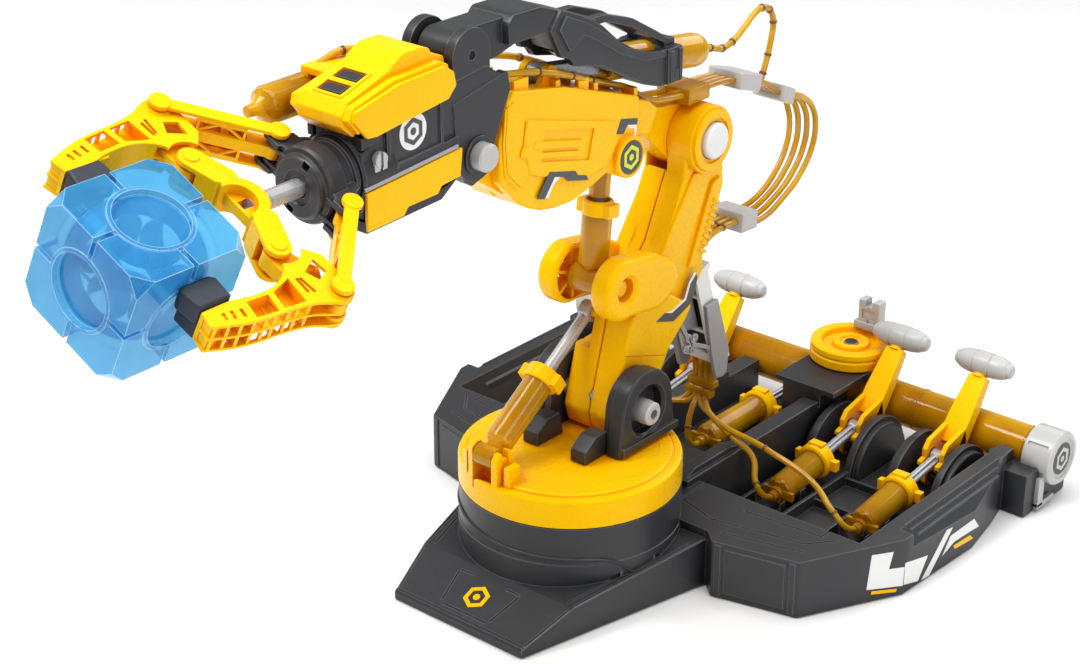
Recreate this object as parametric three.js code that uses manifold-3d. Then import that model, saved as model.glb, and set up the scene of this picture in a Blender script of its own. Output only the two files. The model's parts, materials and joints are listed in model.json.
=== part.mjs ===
// Toy hydraulic robot arm: a console base with levers, a turntable, a two-link arm with clear
// cylinders, a tilting wrist, a rolling gripper and the clear block that it picks up.
// Millimetres, +Z up, the arm reaches along -Y, +X is the arm's left-hand side seen from behind.
// The origin is on the turntable's axis, in the plane of the flat underside.
import * as THREE from 'three';
import { mergeVertices } from 'three/addons/utils/BufferGeometryUtils.js';
import Module from 'manifold-3d';

const wasm = await Module();
wasm.setup();

// ---- driving dimensions -------------------------------------------------------------------
const GAP = 0.3; // clearance between touching pieces
const PIN_GAP = 0.4; // radial clearance of a bored pin
const SPLIT = 0.15; // half the gap between the two halves of an arm shell

const DRUM_R = 45;
const DRUM_TOP = 40;
const TABLE_TOP = 53.2;
const DECK_TOP = 25.5;
const FLOOR_Z = 4; // pocket floor of the console
const POCKET_FRONT = 56;

const LEVER_XS = [86, 44, -44, -86];
const LEVER_PIVOT = [143, 8.5]; // y, z
const LEVER_PIN = [143, 19];
const HANDLE_AT = [176.8, 50.6];
const PLUNGER_TILT = THREE.MathUtils.degToRad(7.2);
const GUARD_R = 22;

const TANK_AT = [171.5, 21.5];
const TANK_R = 9.5;
const TANK_CAP_R = 12;
const WHEEL_AT = [19.5, 174.5]; // x, y
const WHEEL_R = 18.5;
const WHEEL_Z = [34.6, 43];

const BOOM_AT = [18, 69];
const BOOM_CYL_X = -9;
const BOOM_CYL_FOOT = [-39, 61];
const BOOM_ROD_EYE = [22, 102];
const YOKE_AT = [12.5, 121.5];
const SHOULDER_AT = [71, 166];
const FORE_ROD_EYE = [18.4, 174.1];
const WRIST_AT = [-68, 200];
const LINK_AT = [-69, 236.3];
const LINK_ROD_EYE = [-20, 214.5];
const LINK_REAR = [72.6, 200];

const GRIP_Z = 206.5;
const GRIP_ROLL = THREE.MathUtils.degToRad(27);
const HEAD_R = 14;
const LUG_AT = [18.5, -136.5]; // x, y of the jaw links' rear pins in the gripper's own frame
const ELBOW_AT = [46, -166]; // of the links' front pins
const CLAW_AT = [22, -172]; // of the claws' pins on the crosshead
const CROSS_HALF = 3.2; // half the fork gap of the crosshead
const JAW_HALF = 5.6; // half the height of the claws
const PAD_BACK = 33.1; // x of the pads' backs
const BLOCK_AT = [0, -208.6, -8.9]; // the clear block's centre
const BLOCK_HALF = 22;
const BLOCK_CORNER = 2.8; // where the corners are cut, in half widths along the diagonal

const BARREL_R = 6;
const BORE_R = 4.6;
const PISTON_R = 4.2;
const GRIP_CYL_AT = [-26, 226]; // x, z
const FORK = [-8.6, 1.2]; // x of the forearm hub between the shoulder cheeks
const GUIDE_LINE = [[74, 106], [88, 62]]; // y, z of the hose guide's two ends
const STRANDS = [-4.5, -1.5, 1.5, 4.5]; // x of the four hoses

// ---- materials ----------------------------------------------------------------------------
const paint = (color, roughness, metalness = 0, opacity = 1) =>
  new THREE.MeshStandardMaterial({ color, roughness, metalness, opacity, transparent: opacity < 1 });
const YELLOW = paint(0xffc20a, 0.32);
const DARK = paint(0x3d3e40, 0.5);
const GREY = paint(0xd2d2d0, 0.4);
const SILVER = paint(0xb4b6b8, 0.3, 0.6);
const AMBER = paint(0xf0a010, 0.12, 0, 0.6);
const BLUE = paint(0x3fa4f0, 0.06, 0, 0.45);
const RUBBER = paint(0x1d1f24, 0.8);

// ---- solids -------------------------------------------------------------------------------
// A closed geometry as a solid: equal points merged, collapsed triangles dropped.
function solid(geometry) {
  const bare = geometry.clone();
  for (const name of Object.keys(bare.attributes)) {
    if (name !== 'position') bare.deleteAttribute(name);
  }
  const merged = mergeVertices(bare, 1e-4);
  const faces = [];
  for (let i = 0; i < merged.index.count; i += 3) {
    const [a, b, c] = [0, 1, 2].map((k) => merged.index.getX(i + k));
    if (a !== b && b !== c && c !== a) faces.push(a, b, c);
  }
  return new wasm.Manifold(new wasm.Mesh({
    numProp: 3,
    vertProperties: Float32Array.from(merged.attributes.position.array),
    triVerts: Uint32Array.from(faces),
  }));
}

function geometryOf(body) {
  const mesh = body.getMesh();
  const geometry = new THREE.BufferGeometry();
  geometry.setAttribute('position', new THREE.BufferAttribute(mesh.vertProperties, 3));
  geometry.setIndex(new THREE.BufferAttribute(mesh.triVerts, 1));
  geometry.computeVertexNormals();
  return geometry;
}

const join = (...bodies) => bodies.flat().reduce((sum, body) => sum.add(body));
const cut = (body, ...tools) => tools.flat().reduce((rest, tool) => rest.subtract(tool), body);

// Points of an arc, degrees from the first axis towards the second.
function arc(a, b, r, from, to, steps = 12) {
  return Array.from({ length: steps + 1 }, (_, i) => {
    const t = THREE.MathUtils.degToRad(from + ((to - from) * i) / steps);
    return [a + r * Math.cos(t), b + r * Math.sin(t)];
  });
}

const circle = (a, b, r, sides = 12) => arc(a, b, r, 0, 360 - 360 / sides, sides - 1);

const v3 = (p) => new THREE.Vector3(...p);
const TURNS = {
  X: new THREE.Matrix4().makeBasis(v3([0, 1, 0]), v3([0, 0, 1]), v3([1, 0, 0])),
  Y: new THREE.Matrix4().makeBasis(v3([1, 0, 0]), v3([0, 0, 1]), v3([0, -1, 0])),
  Z: new THREE.Matrix4(),
};

// A prism along an axis: its outline is (y, z) along X, (x, z) along Y and (x, y) along Z.
function prism(axis, outline, from, to) {
  const shape = new THREE.Shape(outline.map(([a, b]) => new THREE.Vector2(a, b)));
  const geometry = new THREE.ExtrudeGeometry(shape, { depth: to - from, bevelEnabled: false });
  geometry.translate(0, 0, axis === 'Y' ? -to : from);
  return solid(geometry.applyMatrix4(TURNS[axis]));
}

const rod = (axis, a, b, r, from, to, sides = 12) => prism(axis, circle(a, b, r, sides), from, to);

const box = (x0, x1, y0, y1, z0, z1) =>
  prism('Z', [[x0, y0], [x1, y0], [x1, y1], [x0, y1]], z0, z1);

// A turned piece: profile points are (radius, distance from start along the direction).
function turned(start, direction, profile, sides = 12) {
  const points = profile.map(([r, t]) => new THREE.Vector2(r, t));
  const geometry = new THREE.LatheGeometry(points, sides);
  const turn = new THREE.Quaternion().setFromUnitVectors(v3([0, 1, 0]), v3(direction).normalize());
  geometry.applyQuaternion(turn).translate(...start);
  return solid(geometry);
}

const plug = (r, from, to) => [[0, from], [r, from], [r, to], [0, to]];

const bar = (start, direction, r, from, to, sides = 12) =>
  turned(start, direction, plug(r, from, to), sides);

// A round tube along a hand-placed route.
function hose(route, r = 1.4, steps = 7) {
  const path = new THREE.CatmullRomCurve3(route.map(v3), false, 'centripetal');
  const section = new THREE.Shape(circle(0, 0, r, 8).map(([a, b]) => new THREE.Vector2(a, b)));
  return solid(new THREE.ExtrudeGeometry(section, { steps, extrudePath: path, bevelEnabled: false }));
}

// A straight beam with a rectangular section between two (y, z) points.
function strut(p, q, half, x0, x1) {
  const [dy, dz] = [q[0] - p[0], q[1] - p[1]];
  const len = Math.hypot(dy, dz);
  const [ny, nz] = [(-dz / len) * half, (dy / len) * half];
  const outline = [[p[0] + ny, p[1] + nz], [p[0] - ny, p[1] - nz], [q[0] - ny, q[1] - nz],
    [q[0] + ny, q[1] + nz]];
  return prism('X', outline, x0, x1);
}

// Limits along X, measured outwards from the split, for the near (1) or far (-1) half of a shell.
const halfSpan = (sign) => (a, b) => (sign > 0 ? [SPLIT + a, b] : [-b, -SPLIT - a]);

const mirrorX = (body) => body.mirror([1, 0, 0]);
const mirrored = (points) => points.map(([a, b]) => [-a, b]).reverse();
const unitYZ = (p, q) => {
  const len = Math.hypot(q[0] - p[0], q[1] - p[1]);
  return [0, (q[0] - p[0]) / len, (q[1] - p[1]) / len];
};

// ---- scene graph --------------------------------------------------------------------------
const kit = new THREE.Group();
const gripper = new THREE.Group();
gripper.position.z = GRIP_Z;
gripper.rotation.y = GRIP_ROLL;
kit.add(gripper);

function place(name, body, material, parent = kit) {
  const mesh = new THREE.Mesh(geometryOf(body), material);
  mesh.name = name;
  parent.add(mesh);
}

// ---- console base -------------------------------------------------------------------------
const PLUNGER_DIR = [0, -Math.cos(PLUNGER_TILT), -Math.sin(PLUNGER_TILT)]; // pin towards the nipple
const pinAt = (x) => [x, ...LEVER_PIN];

function noseBody() {
  const plan = [[33.5, -69], [54.3, 19.8], [54.3, 44]];
  const side = [[-69, 0], [-69, 3.6], [-45, 13.5], [19.8, 21.5], [44, 24], [44, 0]];
  const wedge = prism('X', side, -56, 56).intersect(prism('Z', [...plan, ...mirrored(plan)], -1, 30));
  const panel = prism('Z', [[13, -64], [17, -48], ...mirrored([[13, -64], [17, -48]])], 0, 30);
  const sunk = prism('X', [[-70, 2.4], [-45, 12.7], [-45, 30], [-70, 30]], -30, 30);
  return cut(wedge, panel.intersect(sunk));
}

function deckBody() {
  const side = [[54.3, 19.8], [60.8, 14.2], [96.9, 22.8], [118.8, 64.7], [121.2, 114.7],
    [117, 137], [112.7, 154.6], [112.7, 160]];
  const deck = prism('Z', [...side, ...mirrored(side)], 0, DECK_TOP);
  const channel = box(-20, 20, 68, 161, 10.5, 40);
  return cut(deck, channel);
}

// One console pocket with a sloping outer bank, open at the rear.
function pocket(sign) {
  const section = [[28, FLOOR_Z], [97, FLOOR_Z], [107, 27], [28, 27]];
  const length = [[POCKET_FRONT - 6, 27], [POCKET_FRONT, FLOOR_Z], [161, FLOOR_Z], [161, 27]];
  const space = prism('Y', section, POCKET_FRONT - 10, 161).intersect(prism('X', length, 20, 110));
  return sign > 0 ? space : mirrorX(space);
}

// Three long steps up the outer bank and a low rail on the floor of one pocket.
function bankSteps(sign) {
  const steps = [[97, 5.4], [99.6, 10.2], [102.2, 15]].map(([x, z]) =>
    box(x - 2, x + 3, POCKET_FRONT, 152, FLOOR_Z - 1, z));
  const rail = box(64, 67, 62, 118, FLOOR_Z - 1, FLOOR_Z + 5);
  const all = join(...steps, rail);
  return sign > 0 ? all : mirrorX(all);
}

// Round-topped fins on both sides of a lever, with its pivot pin between them.
function leverGuard(x) {
  const [y, z] = LEVER_PIVOT;
  const fin = [...arc(y, 5, GUARD_R, 0, 180, 8), [y - GUARD_R, FLOOR_Z - 1], [y + GUARD_R, FLOOR_Z - 1]];
  const fins = [-1, 1].map((s) => prism('X', fin, x + s * 10.5 - 1.7, x + s * 10.5 + 1.7));
  const ribR = GUARD_R - 4;
  const rib = [...arc(y, 5, ribR, 0, 180, 7), [y - ribR, FLOOR_Z - 1], [y + ribR, FLOOR_Z - 1]];
  const ribs = [-1, 1].map((s) => prism('X', rib, x + s * 13.2 - 1.4, x + s * 13.2 + 1.4));
  return join(...fins, ...ribs, rod('X', y, z, 2, x - 10.5, x + 10.5, 12));
}

// Two saddles under a lever's cylinder.
function cradle(x) {
  const saddles = [LEVER_PIN[0] - 49, LEVER_PIN[0] - 64].map((y) =>
    box(x - 6.5, x + 6.5, y - 2, y + 2, FLOOR_Z - 1, 11));
  return cut(join(...saddles), bar(pinAt(x), PLUNGER_DIR, 6 + GAP, 20, 70));
}

// End blocks that carry the tank behind the console.
function tankBlocks() {
  const block = box(103, 125, 150, 185, 0, 20);
  return join(block, mirrorX(block));
}

// A bridge over the tank for the control wheel.
function wheelBridge() {
  const [x, y] = WHEEL_AT;
  const pillar = box(8, 28, 138, 160, 10, 33);
  const plate = join(box(4, 35, 138, y, 31.6, WHEEL_Z[0] - GAP),
    rod('Z', x, y, 16, 31.6, WHEEL_Z[0] - GAP, 20));
  return join(pillar, plate, rod('Z', x, y, 3, 32, WHEEL_Z[1] - 1, 12));
}

function consoleWalls() {
  const wall = join(box(20, 28, 42, 137, 8, 28.5),
    prism('X', [[42, 28], [50, 31], [74, 31], [86, 28]], 20, 26));
  const bulkhead = box(-22, 22, 44, 69, 10, 27.5);
  return join(wall, mirrorX(wall), bulkhead);
}

function wingPanels() {
  const slot = prism('Z', [[68.5, 12], [89.5, 17], [88.9, 19.6], [68, 14.6]], 9, 16);
  return [slot, mirrorX(slot)];
}

function baseShell() {
  const hull = cut(join(noseBody(), deckBody(), rod('Z', 0, 0, DRUM_R, 0, DRUM_TOP, 36)),
    pocket(1), pocket(-1), wingPanels());
  const guards = LEVER_XS.map(leverGuard);
  const cradles = LEVER_XS.map(cradle);
  const shell = join(hull, consoleWalls(), bankSteps(1), bankSteps(-1), ...guards, ...cradles,
    tankBlocks(), wheelBridge());
  const tools = [
    rod('Z', 0, 0, 8.6, 28, DRUM_TOP + 1),
    rod('X', ...TANK_AT, TANK_R + GAP, -140, 140, 14),
    rod('X', ...TANK_AT, TANK_CAP_R + GAP, 115.6, 140, 18),
    rod('X', ...TANK_AT, TANK_CAP_R + GAP, -140, -115.6, 18),
    bar([0, 165, 19], [0, -1, 0], 6 + GAP, 20, 80),
  ];
  return cut(shell, ...tools);
}

// ---- tank ---------------------------------------------------------------------------------
function tankCap(sign) {
  const profile = [[0, 0], [10.8, 0], [TANK_CAP_R, 1.5], [TANK_CAP_R, 14],
    [TANK_R + GAP, 14], [TANK_R + GAP, 5.7], [0, 5.7]];
  return turned([sign * 130, ...TANK_AT], [-sign, 0, 0], profile, 18);
}

// ---- hydraulic cylinders ------------------------------------------------------------------
// Distances run from the rod's pin towards the nipple end.
function masterBarrel(pin, direction, mouth, length) {
  const end = mouth + length;
  const outer = [[0, mouth], [8, mouth], [8, mouth + 6], [BARREL_R, mouth + 6], [BARREL_R, end - 2],
    [2.2, end], [2.2, end + 5], [0, end + 5]];
  const bore = [[0, mouth - 1], [BORE_R, mouth - 1], [BORE_R, end - 2.5], [0, end - 2.5]];
  const ears = box(pin[0] - 10.5, pin[0] + 10.5, pin[1] - mouth - 4.6, pin[1] - mouth - 1.4,
    pin[2] - mouth * Math.sin(PLUNGER_TILT) - 3, pin[2] - mouth * Math.sin(PLUNGER_TILT) + 2.4);
  return cut(join(turned(pin, direction, outer, 12), ears), turned(pin, direction, bore, 12));
}

function plunger(pin, direction, reach) {
  return turned(pin, direction, [[0, 0], [2.4, 0], [2.4, reach], [PISTON_R, reach],
    [PISTON_R, reach + 5], [0, reach + 5]], 10);
}

function leverPlunger(x) {
  const pin = pinAt(x);
  const eye = rod('X', ...LEVER_PIN, 3, x - 2.6, x + 2.6, 12);
  return join(plunger(pin, PLUNGER_DIR, 42), eye, rod('X', ...LEVER_PIN, 1.6, x - 7, x + 7, 10));
}

// ---- levers -------------------------------------------------------------------------------
function lever(x) {
  const [py, pz] = LEVER_PIVOT;
  const [hy, hz] = HANDLE_AT;
  const len = Math.hypot(hy - py, hz - pz);
  const [uy, uz] = [(hy - py) / len, (hz - pz) / len];
  const along = (t) => [py + uy * t, pz + uz * t];
  const wide = 5.2;
  const shank = join(
    strut(along(0), along(len - 6), 2.4, x - wide, x + wide),
    rod('X', py, pz, 4.2, x - wide, x + wide, 10),
    rod('X', LEVER_PIN[0], LEVER_PIN[1] + 0.4, 4.6, x - wide, x + wide, 10),
    prism('X', [[py - 4.2, pz], [py + 4.2, pz], [py + 4.2, LEVER_PIN[1]], [py - 4.2, LEVER_PIN[1]]],
      x - wide, x + wide),
    prism('X', [[py, LEVER_PIN[1] + 3], [py + 4, pz], along(26)], x - wide, x + wide),
  );
  const stem = turned([x, ...along(len - 6.2)], [0, uy, uz], plug(1.6, 0, 5), 8);
  const slot = prism('X', [[-2, -2.6], [2, -2.6], [2, 3.2], [-2, 3.2]].map(([dy, dz]) =>
    [LEVER_PIN[0] + dy, LEVER_PIN[1] + dz]), x - 6, x + 6);
  const fork = prism('X', [[py - 6, pz - 6], [py + 8, pz - 6], along(25), [py - 6, along(25)[1]]],
    x - 3.1, x + 3.1);
  return cut(join(cut(shank, fork), stem), slot, rod('X', py, pz, 2 + PIN_GAP, x - 6, x + 6, 12));
}

function handle(x) {
  const [hy, hz] = HANDLE_AT;
  const profile = [[0, -15], [3, -14], [4.7, -10], [4.8, 0], [4.7, 10], [3, 14], [0, 15]];
  const grip = turned([x, hy, hz], [1, 0, 0], profile, 12);
  const down = unitYZ(HANDLE_AT, LEVER_PIVOT);
  return cut(grip, turned([x, hy, hz], down, plug(2, 0.6, 8), 8));
}

function wheel() {
  const [z0, z1] = WHEEL_Z;
  const profile = [[3.5, z0], [WHEEL_R, z0], [WHEEL_R, z1], [13.6, z1], [12.8, z1 - 2.6], [8.4, z1 - 2.6],
    [7.8, z1 - 0.6], [3.5, z1 - 0.6], [3.5, z0]];
  return turned([...WHEEL_AT, 0], [0, 0, 1], profile, 20);
}

function wheelGrip() {
  const [x, y] = [WHEEL_AT[0] + 0.9, WHEEL_AT[1] + 14.5];
  const post = box(x - 5.5, x + 5.5, y - 3, y + 3, WHEEL_Z[1] + GAP, WHEEL_Z[1] + 14.5);
  const foot = box(x - 7, x + 7, y - 4, y + 4, WHEEL_Z[1] + GAP, WHEEL_Z[1] + 4);
  return cut(join(post, foot), box(x - 2, x + 2, y - 5, y + 5, WHEEL_Z[1] + 11.5, WHEEL_Z[1] + 20));
}

// ---- turntable ----------------------------------------------------------------------------
function turntable() {
  const profile = [[0, 29.5], [8, 29.5], [8, DRUM_TOP + GAP], [DRUM_R, DRUM_TOP + GAP],
    [DRUM_R, TABLE_TOP - 1.6], [DRUM_R - 3.4, TABLE_TOP - 1.6], [DRUM_R - 3.8, TABLE_TOP],
    [0, TABLE_TOP]];
  const disc = turned([0, 0, 0], [0, 0, 1], profile, 36);
  const [fy, fz] = BOOM_CYL_FOOT;
  const cheek = [[-44, 44], [-44, 60], ...arc(fy - 1, fz + 1.6, 4, 150, 30, 6), [-33, 58], [-28, 52]];
  const both = (off, half) => [-1, 1].map((s) => [BOOM_CYL_X + s * off - half, BOOM_CYL_X + s * off + half]);
  const cheeks = both(7, 1.7).map(([x0, x1]) => prism('X', cheek, x0, x1));
  const bay = box(BOOM_CYL_X - 5.3, BOOM_CYL_X + 5.3, -46, -29, 47, 60);
  const inside = rod('Z', 0, 0, DRUM_R, 40, 70, 36);
  const pin = rod('X', fy, fz, 2, BOOM_CYL_X - 7, BOOM_CYL_X + 7, 12);
  const ribs = both(12, 1.2).map(([x0, x1]) => box(x0, x1, -42, -36, 52, 59));
  const bridge = both(10, 2.2).map(([x0, x1]) => box(x0, x1, -37.4, -36, 52, 58));
  return join(cut(disc, bay), join(...cheeks, ...ribs, ...bridge).intersect(inside), pin);
}

function pedestal(sign) {
  const [y, z] = [19.5, 70];
  const base = TABLE_TOP + GAP;
  const arch = [[1.6, base], ...arc(y, z, 15.8, 180, 0, 10), [37.4, base]];
  const body = join(
    prism('X', arch, 13.8, 24),
    prism('X', [[-10, base], [-10, base + 5], [-4, base + 9.6], [3.4, base + 9.6], [5, base]], 9, 14),
    box(23, 25.2, 2, 37, base + 1.6, base + 4.6),
  );
  const recess = rod('X', y, z - 1, 10.4, 18.6, 30, 20);
  const floor = box(18, 30, 8, 31, 50, base + 6);
  const whole = cut(body, cut(recess, floor), rod('X', ...BOOM_AT, 5 + PIN_GAP, 10, 30, 12));
  return sign > 0 ? whole : mirrorX(whole);
}

function boomPin() {
  const pin = rod('X', ...BOOM_AT, 5, -28, 28, 18);
  return cut(pin, rod('X', ...BOOM_AT, 2, 26, 30, 8), rod('X', ...BOOM_AT, 2, -30, -26, 8));
}

// ---- slave cylinders ----------------------------------------------------------------------
// A barrel pivoted at its foot, open at the top; distances run from the foot.
function slaveBarrel(x, foot, towards, eyeR, eyeHalf, pinR, length, capR) {
  const dir = unitYZ(foot, towards);
  const outer = [[0, 2.8], [3.6, 2.8], [BARREL_R, 7], [BARREL_R, length - 6], [capR, length - 6],
    [capR, length], [0, length]];
  const bore = [[0, 12], [BORE_R, 12], [BORE_R, length + 1], [0, length + 1]];
  const start = [x, ...foot];
  const eye = rod('X', ...foot, eyeR, x - eyeHalf, x + eyeHalf, 16);
  return cut(join(turned(start, dir, outer, 12), eye), turned(start, dir, bore, 12),
    rod('X', ...foot, pinR + PIN_GAP, x - 20, x + 20, 12));
}

// A rod pivoted at its eye with its piston inside the barrel; distances run from the eye.
function slaveRod(x, eye, towards, rodR, reach, eyeR, eyeHalf, pinR) {
  const dir = unitYZ(eye, towards);
  const start = [x, ...eye];
  const stem = turned(start, dir, [[0, 0], [rodR, 0], [rodR, reach], [PISTON_R - 0.1, reach],
    [PISTON_R - 0.1, reach + 4], [0, reach + 4]], 10);
  return cut(join(stem, rod('X', ...eye, eyeR, x - eyeHalf, x + eyeHalf, 14)),
    rod('X', ...eye, pinR + PIN_GAP, x - 20, x + 20, 12));
}

// ---- lower arm ----------------------------------------------------------------------------
function lowerArmHalf(sign) {
  const span = halfSpan(sign);
  const shank = [[13.5, 55], [10.8, 63.5], [21.7, 102.6], [45.2, 127.6], [57.4, 153.2],
    ...arc(...SHOULDER_AT, 14, 200, -30, 12), [84.3, 142.5], [72, 115], [72, 108], [58.5, 92.4],
    [47.4, 82.7], [36, 64], [28, 55]];
  const foot = [[13.5, 55], [10.8, 63.5], [21.7, 102.6], [26, 107], [40, 112], [62, 97], [58.5, 92.4],
    [47.4, 82.7], [36, 64], [28, 55]];
  const cheek = [...arc(...YOKE_AT, 12.5, 84, 284, 12), [51, 107], [56, 118], [48, 131.5]];
  const ridge = [[31, 113], [52, 113], [68, 138], [76, 154], [62, 154]];
  const spine = [[16, 91], [11, 97.6], [21.7, 103], [26, 108]];
  const parts = [
    prism('X', shank, ...span(0, 10)),
    prism('X', foot, ...span(0, 13)),
    prism('X', cheek, ...span(8.4, 18)),
    rod('X', ...SHOULDER_AT, 14, ...span(0, 14.5), 18),
    prism('X', ridge, ...span(5, 11)),
  ];
  const ribs = Array.from({ length: 7 }, (_, i) => {
    const t = i / 6;
    return strut([66 + 9 * t, 118 + 22 * t], [70 + 9 * t, 115.6 + 22 * t], 1, ...span(8, 10.8));
  });
  const panelSeam = [strut([26, 66], [52, 66], 0.35, ...span(12.6, 14)),
    strut([26, 66], [21, 74], 0.35, ...span(12.6, 14)),
    strut([21, 74], [25, 92], 0.35, ...span(12.6, 14))];
  const tools = [
    rod('X', ...BOOM_AT, 5 + PIN_GAP, -30, 30, 14),
    rod('X', ...SHOULDER_AT, 17.6, FORK[0] - GAP, FORK[1] + GAP, 14),
    rod('X', ...SHOULDER_AT, 7.4 + PIN_GAP, -30, 30, 14),
    prism('X', [[52, 148], [40, 150], [40, 200], [71, 200], [71, 166]], FORK[0] - GAP, FORK[1] + GAP),
    turned([sign * 18.5, ...YOKE_AT], [-sign, 0, 0], plug(5.4, 0, 5), 12),
    ...panelSeam,
  ];
  const body = cut(join(...parts, ...ribs), ...tools);
  const pin = rod('X', ...YOKE_AT, 3.2, ...span(0, 9), 12);
  const eyePin = rod('X', ...BOOM_ROD_EYE, 2, BOOM_CYL_X - 4, -4, 10);
  const eyeBay = box(-20, -5.2, 0, 33, 88, 107.4);
  if (sign > 0) return join(body, pin);
  return join(cut(body, eyeBay), pin, eyePin);
}

function shoulderPin() {
  return rod('X', ...SHOULDER_AT, 7.4, -17, 17, 18);
}

function hoseGuide() {
  const [top, foot] = GUIDE_LINE;
  const off = (p, k, t = 0) => [p[0] + (foot[0] - top[0]) * t + 0.953 * k,
    p[1] + (foot[1] - top[1]) * t + 0.303 * k];
  const rails = [-1, 1].map((s) => strut(top, foot, 4, s * 7.2 - 1, s * 7.2 + 1));
  const back = strut(off(top, 3.2, 0.14), off(foot, 3.2), 0.8, -7.7, 7.7);
  const rungs = [[0.06, 0.12], [0.24, 0.66], [0.84, 0.9]].map(([t0, t1]) =>
    strut(off(top, -3.2, t0), off(top, -3.2, t1), 0.8, -7.7, 7.7));
  const lug = prism('X', [[50, 82], [57, 94.6], off(top, -3.2, 0.28), off(top, -3.2, 0.62)], -3.4, 3.4);
  const shield = prism('X', [[76, 88], [84, 90], [93, 64], [90, 54], [84, 54], [80, 66]], -9.6, -7.8);
  return cut(join(...rails, back, ...rungs, lug, shield, mirrorX(shield)), armBack());
}

// Clearance of the guide's lug to the back of the lower arm.
function armBack() {
  const side = [[30, 60], [36, 63], [48, 82.2], [59, 91.8], [71, 107.6], [71, 130], [30, 130]];
  return prism('X', side, -14, 14);
}

// ---- forearm ------------------------------------------------------------------------------
function forearmHalf(sign) {
  const span = halfSpan(sign);
  const side = [[26, 196], [26, 181], ...arc(...FORE_ROD_EYE, 8.2, 20, -115, 10), [6.9, 170.4], [-6, 167],
    ...arc(-26, 181, 15, -115, -160, 6), [-44, 172.5], [-54, 184], [-48.4, 214], [-44, 217],
    [-17.5, 211]];
  const neck = [[20, 197], [20, 180], [44, 172], [60, 157.4], ...arc(...SHOULDER_AT, 14, -110, 100, 12),
    [52, 182], [38, 188]];
  const tongue = [...arc(...WRIST_AT, 9, 90, 270, 12), [-46, 176], [-44, 214]];
  const panel = [[-33, 201], [-36, 190], [-28, 183], [2, 176], [2, 198]];
  const solidSide = prism('X', side, ...span(0, 12));
  const neckBody = prism('X', neck, ...FORK).intersect(box(...span(0, 60), -90, 90, 100, 260));
  const collar = prism('X', [[22, 195], [22, 181], [38, 178], [40, 186], [34, 190.6]], ...span(0, 9));
  const badge = rod('X', ...FORE_ROD_EYE, 8.2, ...span(11, 13), 18);
  const raised = prism('X', panel, ...span(11, 12.8));
  const groove = join(strut([-30, 196], [-2, 192], 1.1, ...span(12.2, 14)),
    strut([-36, 187], [-4, 180.5], 1.1, ...span(12.2, 14)));
  const well = prism('X', [[10, 186], [10, 150], [27, 150], [29, 186]], -7.4, 7.4);
  const body = cut(join(solidSide, neckBody, collar, cut(join(badge, raised), groove),
    prism('X', tongue, ...span(0, 7))),
    well,
    rod('X', ...WRIST_AT, 5.2 + PIN_GAP, -30, 30, 10),
    rod('X', ...SHOULDER_AT, 7.4 + PIN_GAP, -30, 30, 14),
    linkBay());
  const pin = rod('X', ...FORE_ROD_EYE, 2.4, ...span(0, 9), 10);
  const ears = prism('X', [[-28, 206], [-12, 206], ...arc(...LINK_ROD_EYE, 4.2, 0, 180, 8)],
    ...span(3.2, 6.2));
  const earPin = rod('X', ...LINK_ROD_EYE, 1.8, ...span(0, 6), 12);
  return join(cut(body, shoulderSweep(sign)), pin, ears, earPin);
}

// Space above the forearm for the wrist link's rod eye.
const linkBay = () => prism('X', [[-30, 208.4], [-10, 205.4], [-10, 240], [-30, 240]], -3.5, 3.5);

// Space that the shoulder cheeks need beside the forearm's neck.
function shoulderSweep(sign) {
  const side = sign > 0 ? [FORK[1], 30] : [-30, FORK[0]];
  return rod('X', ...SHOULDER_AT, 14 + 1, ...side, 20);
}

function wristPin() {
  const washer = rod('X', ...WRIST_AT, 7, 13.3, 14.5, 12);
  return join(rod('X', ...WRIST_AT, 5.2, -19.3, 19.3, 12), washer, mirrorX(washer));
}

// ---- wrist --------------------------------------------------------------------------------
function wristBody() {
  const side = [[-53.4, 225.5], [-51.5, 219.4], [-66, 189.6], [-70, 188.4], [-73.6, 191], [-77, 196.4],
    [-88, 196.4], [-88, 193.6], [-124.6, 192.7], [-124.6, 221], [-118, 227.6], [-62, 231]];
  const slab = prism('X', side, -13, 13);
  const disc = prism('X', [...arc(...LINK_AT, 9.6, -10, 200, 12), [-79, 226], [-58, 226]], 8, 12);
  const throat = [[-50, 180], [-79.5, 180], [-79.5, 218], [-72, 224.6], [-50, 224.6]];
  const slot = prism('X', throat, -7.4, 7.4);
  const linkSlot = prism('X', [[-40, 224], [-84, 224], [-84, 260], [-40, 260]], -7.8, 7.8);
  const ring = rod('Y', 0, GRIP_Z, 13.6, -125.2, -110, 24);
  const peg = cut(rod('X', -114, 214.6, 3, 12, 14.6, 10), box(13.4, 16, -114.8, -113.2, 210, 220));
  return join(cut(join(slab, disc, mirrorX(disc), ring, peg), slot, linkSlot,
    rod('X', ...WRIST_AT, 5.2 + PIN_GAP, -30, 30, 10),
    rod('Y', 0, GRIP_Z, 6.4, -130, -104, 16)),
    rod('X', ...LINK_AT, 3, -9, 9, 12));
}

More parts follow.
